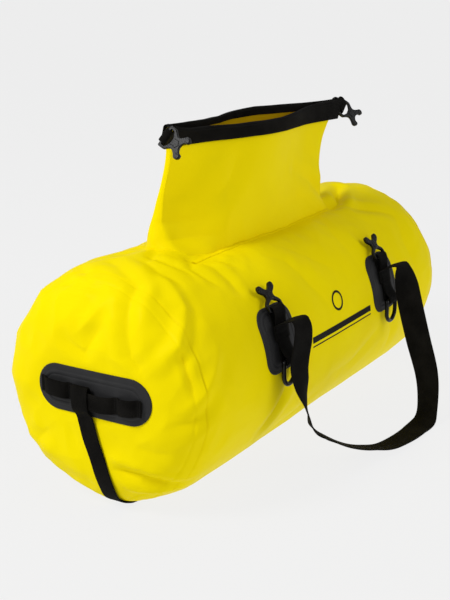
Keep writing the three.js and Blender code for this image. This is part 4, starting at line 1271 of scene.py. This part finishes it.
def pale(tree, shader):
    """A pale matt surface, as bright as the backdrop."""
    shader.inputs["Base Color"].default_value = (0.05, 0.05, 0.05, 1)
    shader.inputs["Roughness"].default_value = 1.0
    shader.inputs["Specular IOR Level"].default_value = 0.0
    shader.inputs["Emission Color"].default_value = (1, 1, 1, 1)
    shader.inputs["Emission Strength"].default_value = FLOOR_GLOW


def floor():
    verts = [(x * FLOOR_HALF, y * FLOOR_HALF, 0) for x, y in ((-1, -1), (1, -1), (1, 1), (-1, 1))]
    MATERIALS["floor"] = material("floor_pale", pale)
    new_object("floor", verts, [(0, 1, 2, 3)], "floor")


def area_light(name, place, size, power):
    data = bpy.data.lights.new(name, "AREA")
    data.shape = "RECTANGLE"
    data.size, data.size_y = size
    data.energy = power
    obj = add(name, data)
    obj.location = place
    obj.rotation_euler = (Vector(LIGHT_TARGET) - Vector(place)).to_track_quat("-Z", "Y").to_euler()


def lights():
    """Three soft lights, and a pale backdrop that is brighter to the camera than to the bag."""
    area_light("key", (-2.2, 0.9, 2.3), (0.9, 0.9), 60)
    area_light("front", (0.5, -3.2, 1.7), (1.8, 1.2), 25)
    area_light("top", (0.2, 0.6, 3.0), (1.6, 1.2), 7)
    world = bpy.data.worlds.new("studio")
    world.use_nodes = True
    background = world.node_tree.nodes["Background"]
    background.inputs["Color"].default_value = (0.86, 0.86, 0.86, 1)
    seen = node(world.node_tree, "ShaderNodeLightPath").outputs["Is Camera Ray"]
    world.node_tree.links.new(uneven(world.node_tree, seen, 0.4, 1.0), background.inputs["Strength"])
    bpy.context.scene.world = world
    bpy.context.scene.view_settings.view_transform = "Standard"
    bpy.context.scene.view_settings.look = "None"


def camera():
    data = bpy.data.cameras.new("camera")
    data.lens = CAMERA_LENS
    data.sensor_width = 36
    data.clip_end = 300
    obj = add("camera", data)
    turn = (CAMERA_TARGET - CAMERA_PLACE).to_track_quat("-Z", "Y").to_matrix().to_4x4()
    obj.matrix_world = Matrix.Translation(CAMERA_PLACE) @ turn @ Matrix.Rotation(CAMERA_ROLL, 4, "Z")
    bpy.context.scene.camera = obj


camera()
lights()
floor()
tube_skin()
for end_side in ("left", "right"):
    end_skin(end_side)
    end_patch(end_side)
    end_webbing(end_side)
    mouth_end(end_side)
neck()
neck_weld()
for band_face in ("front", "back"):
    mouth_band(band_face)
    stiffener(band_face)
under_strap()
side_fittings()
generic_print()
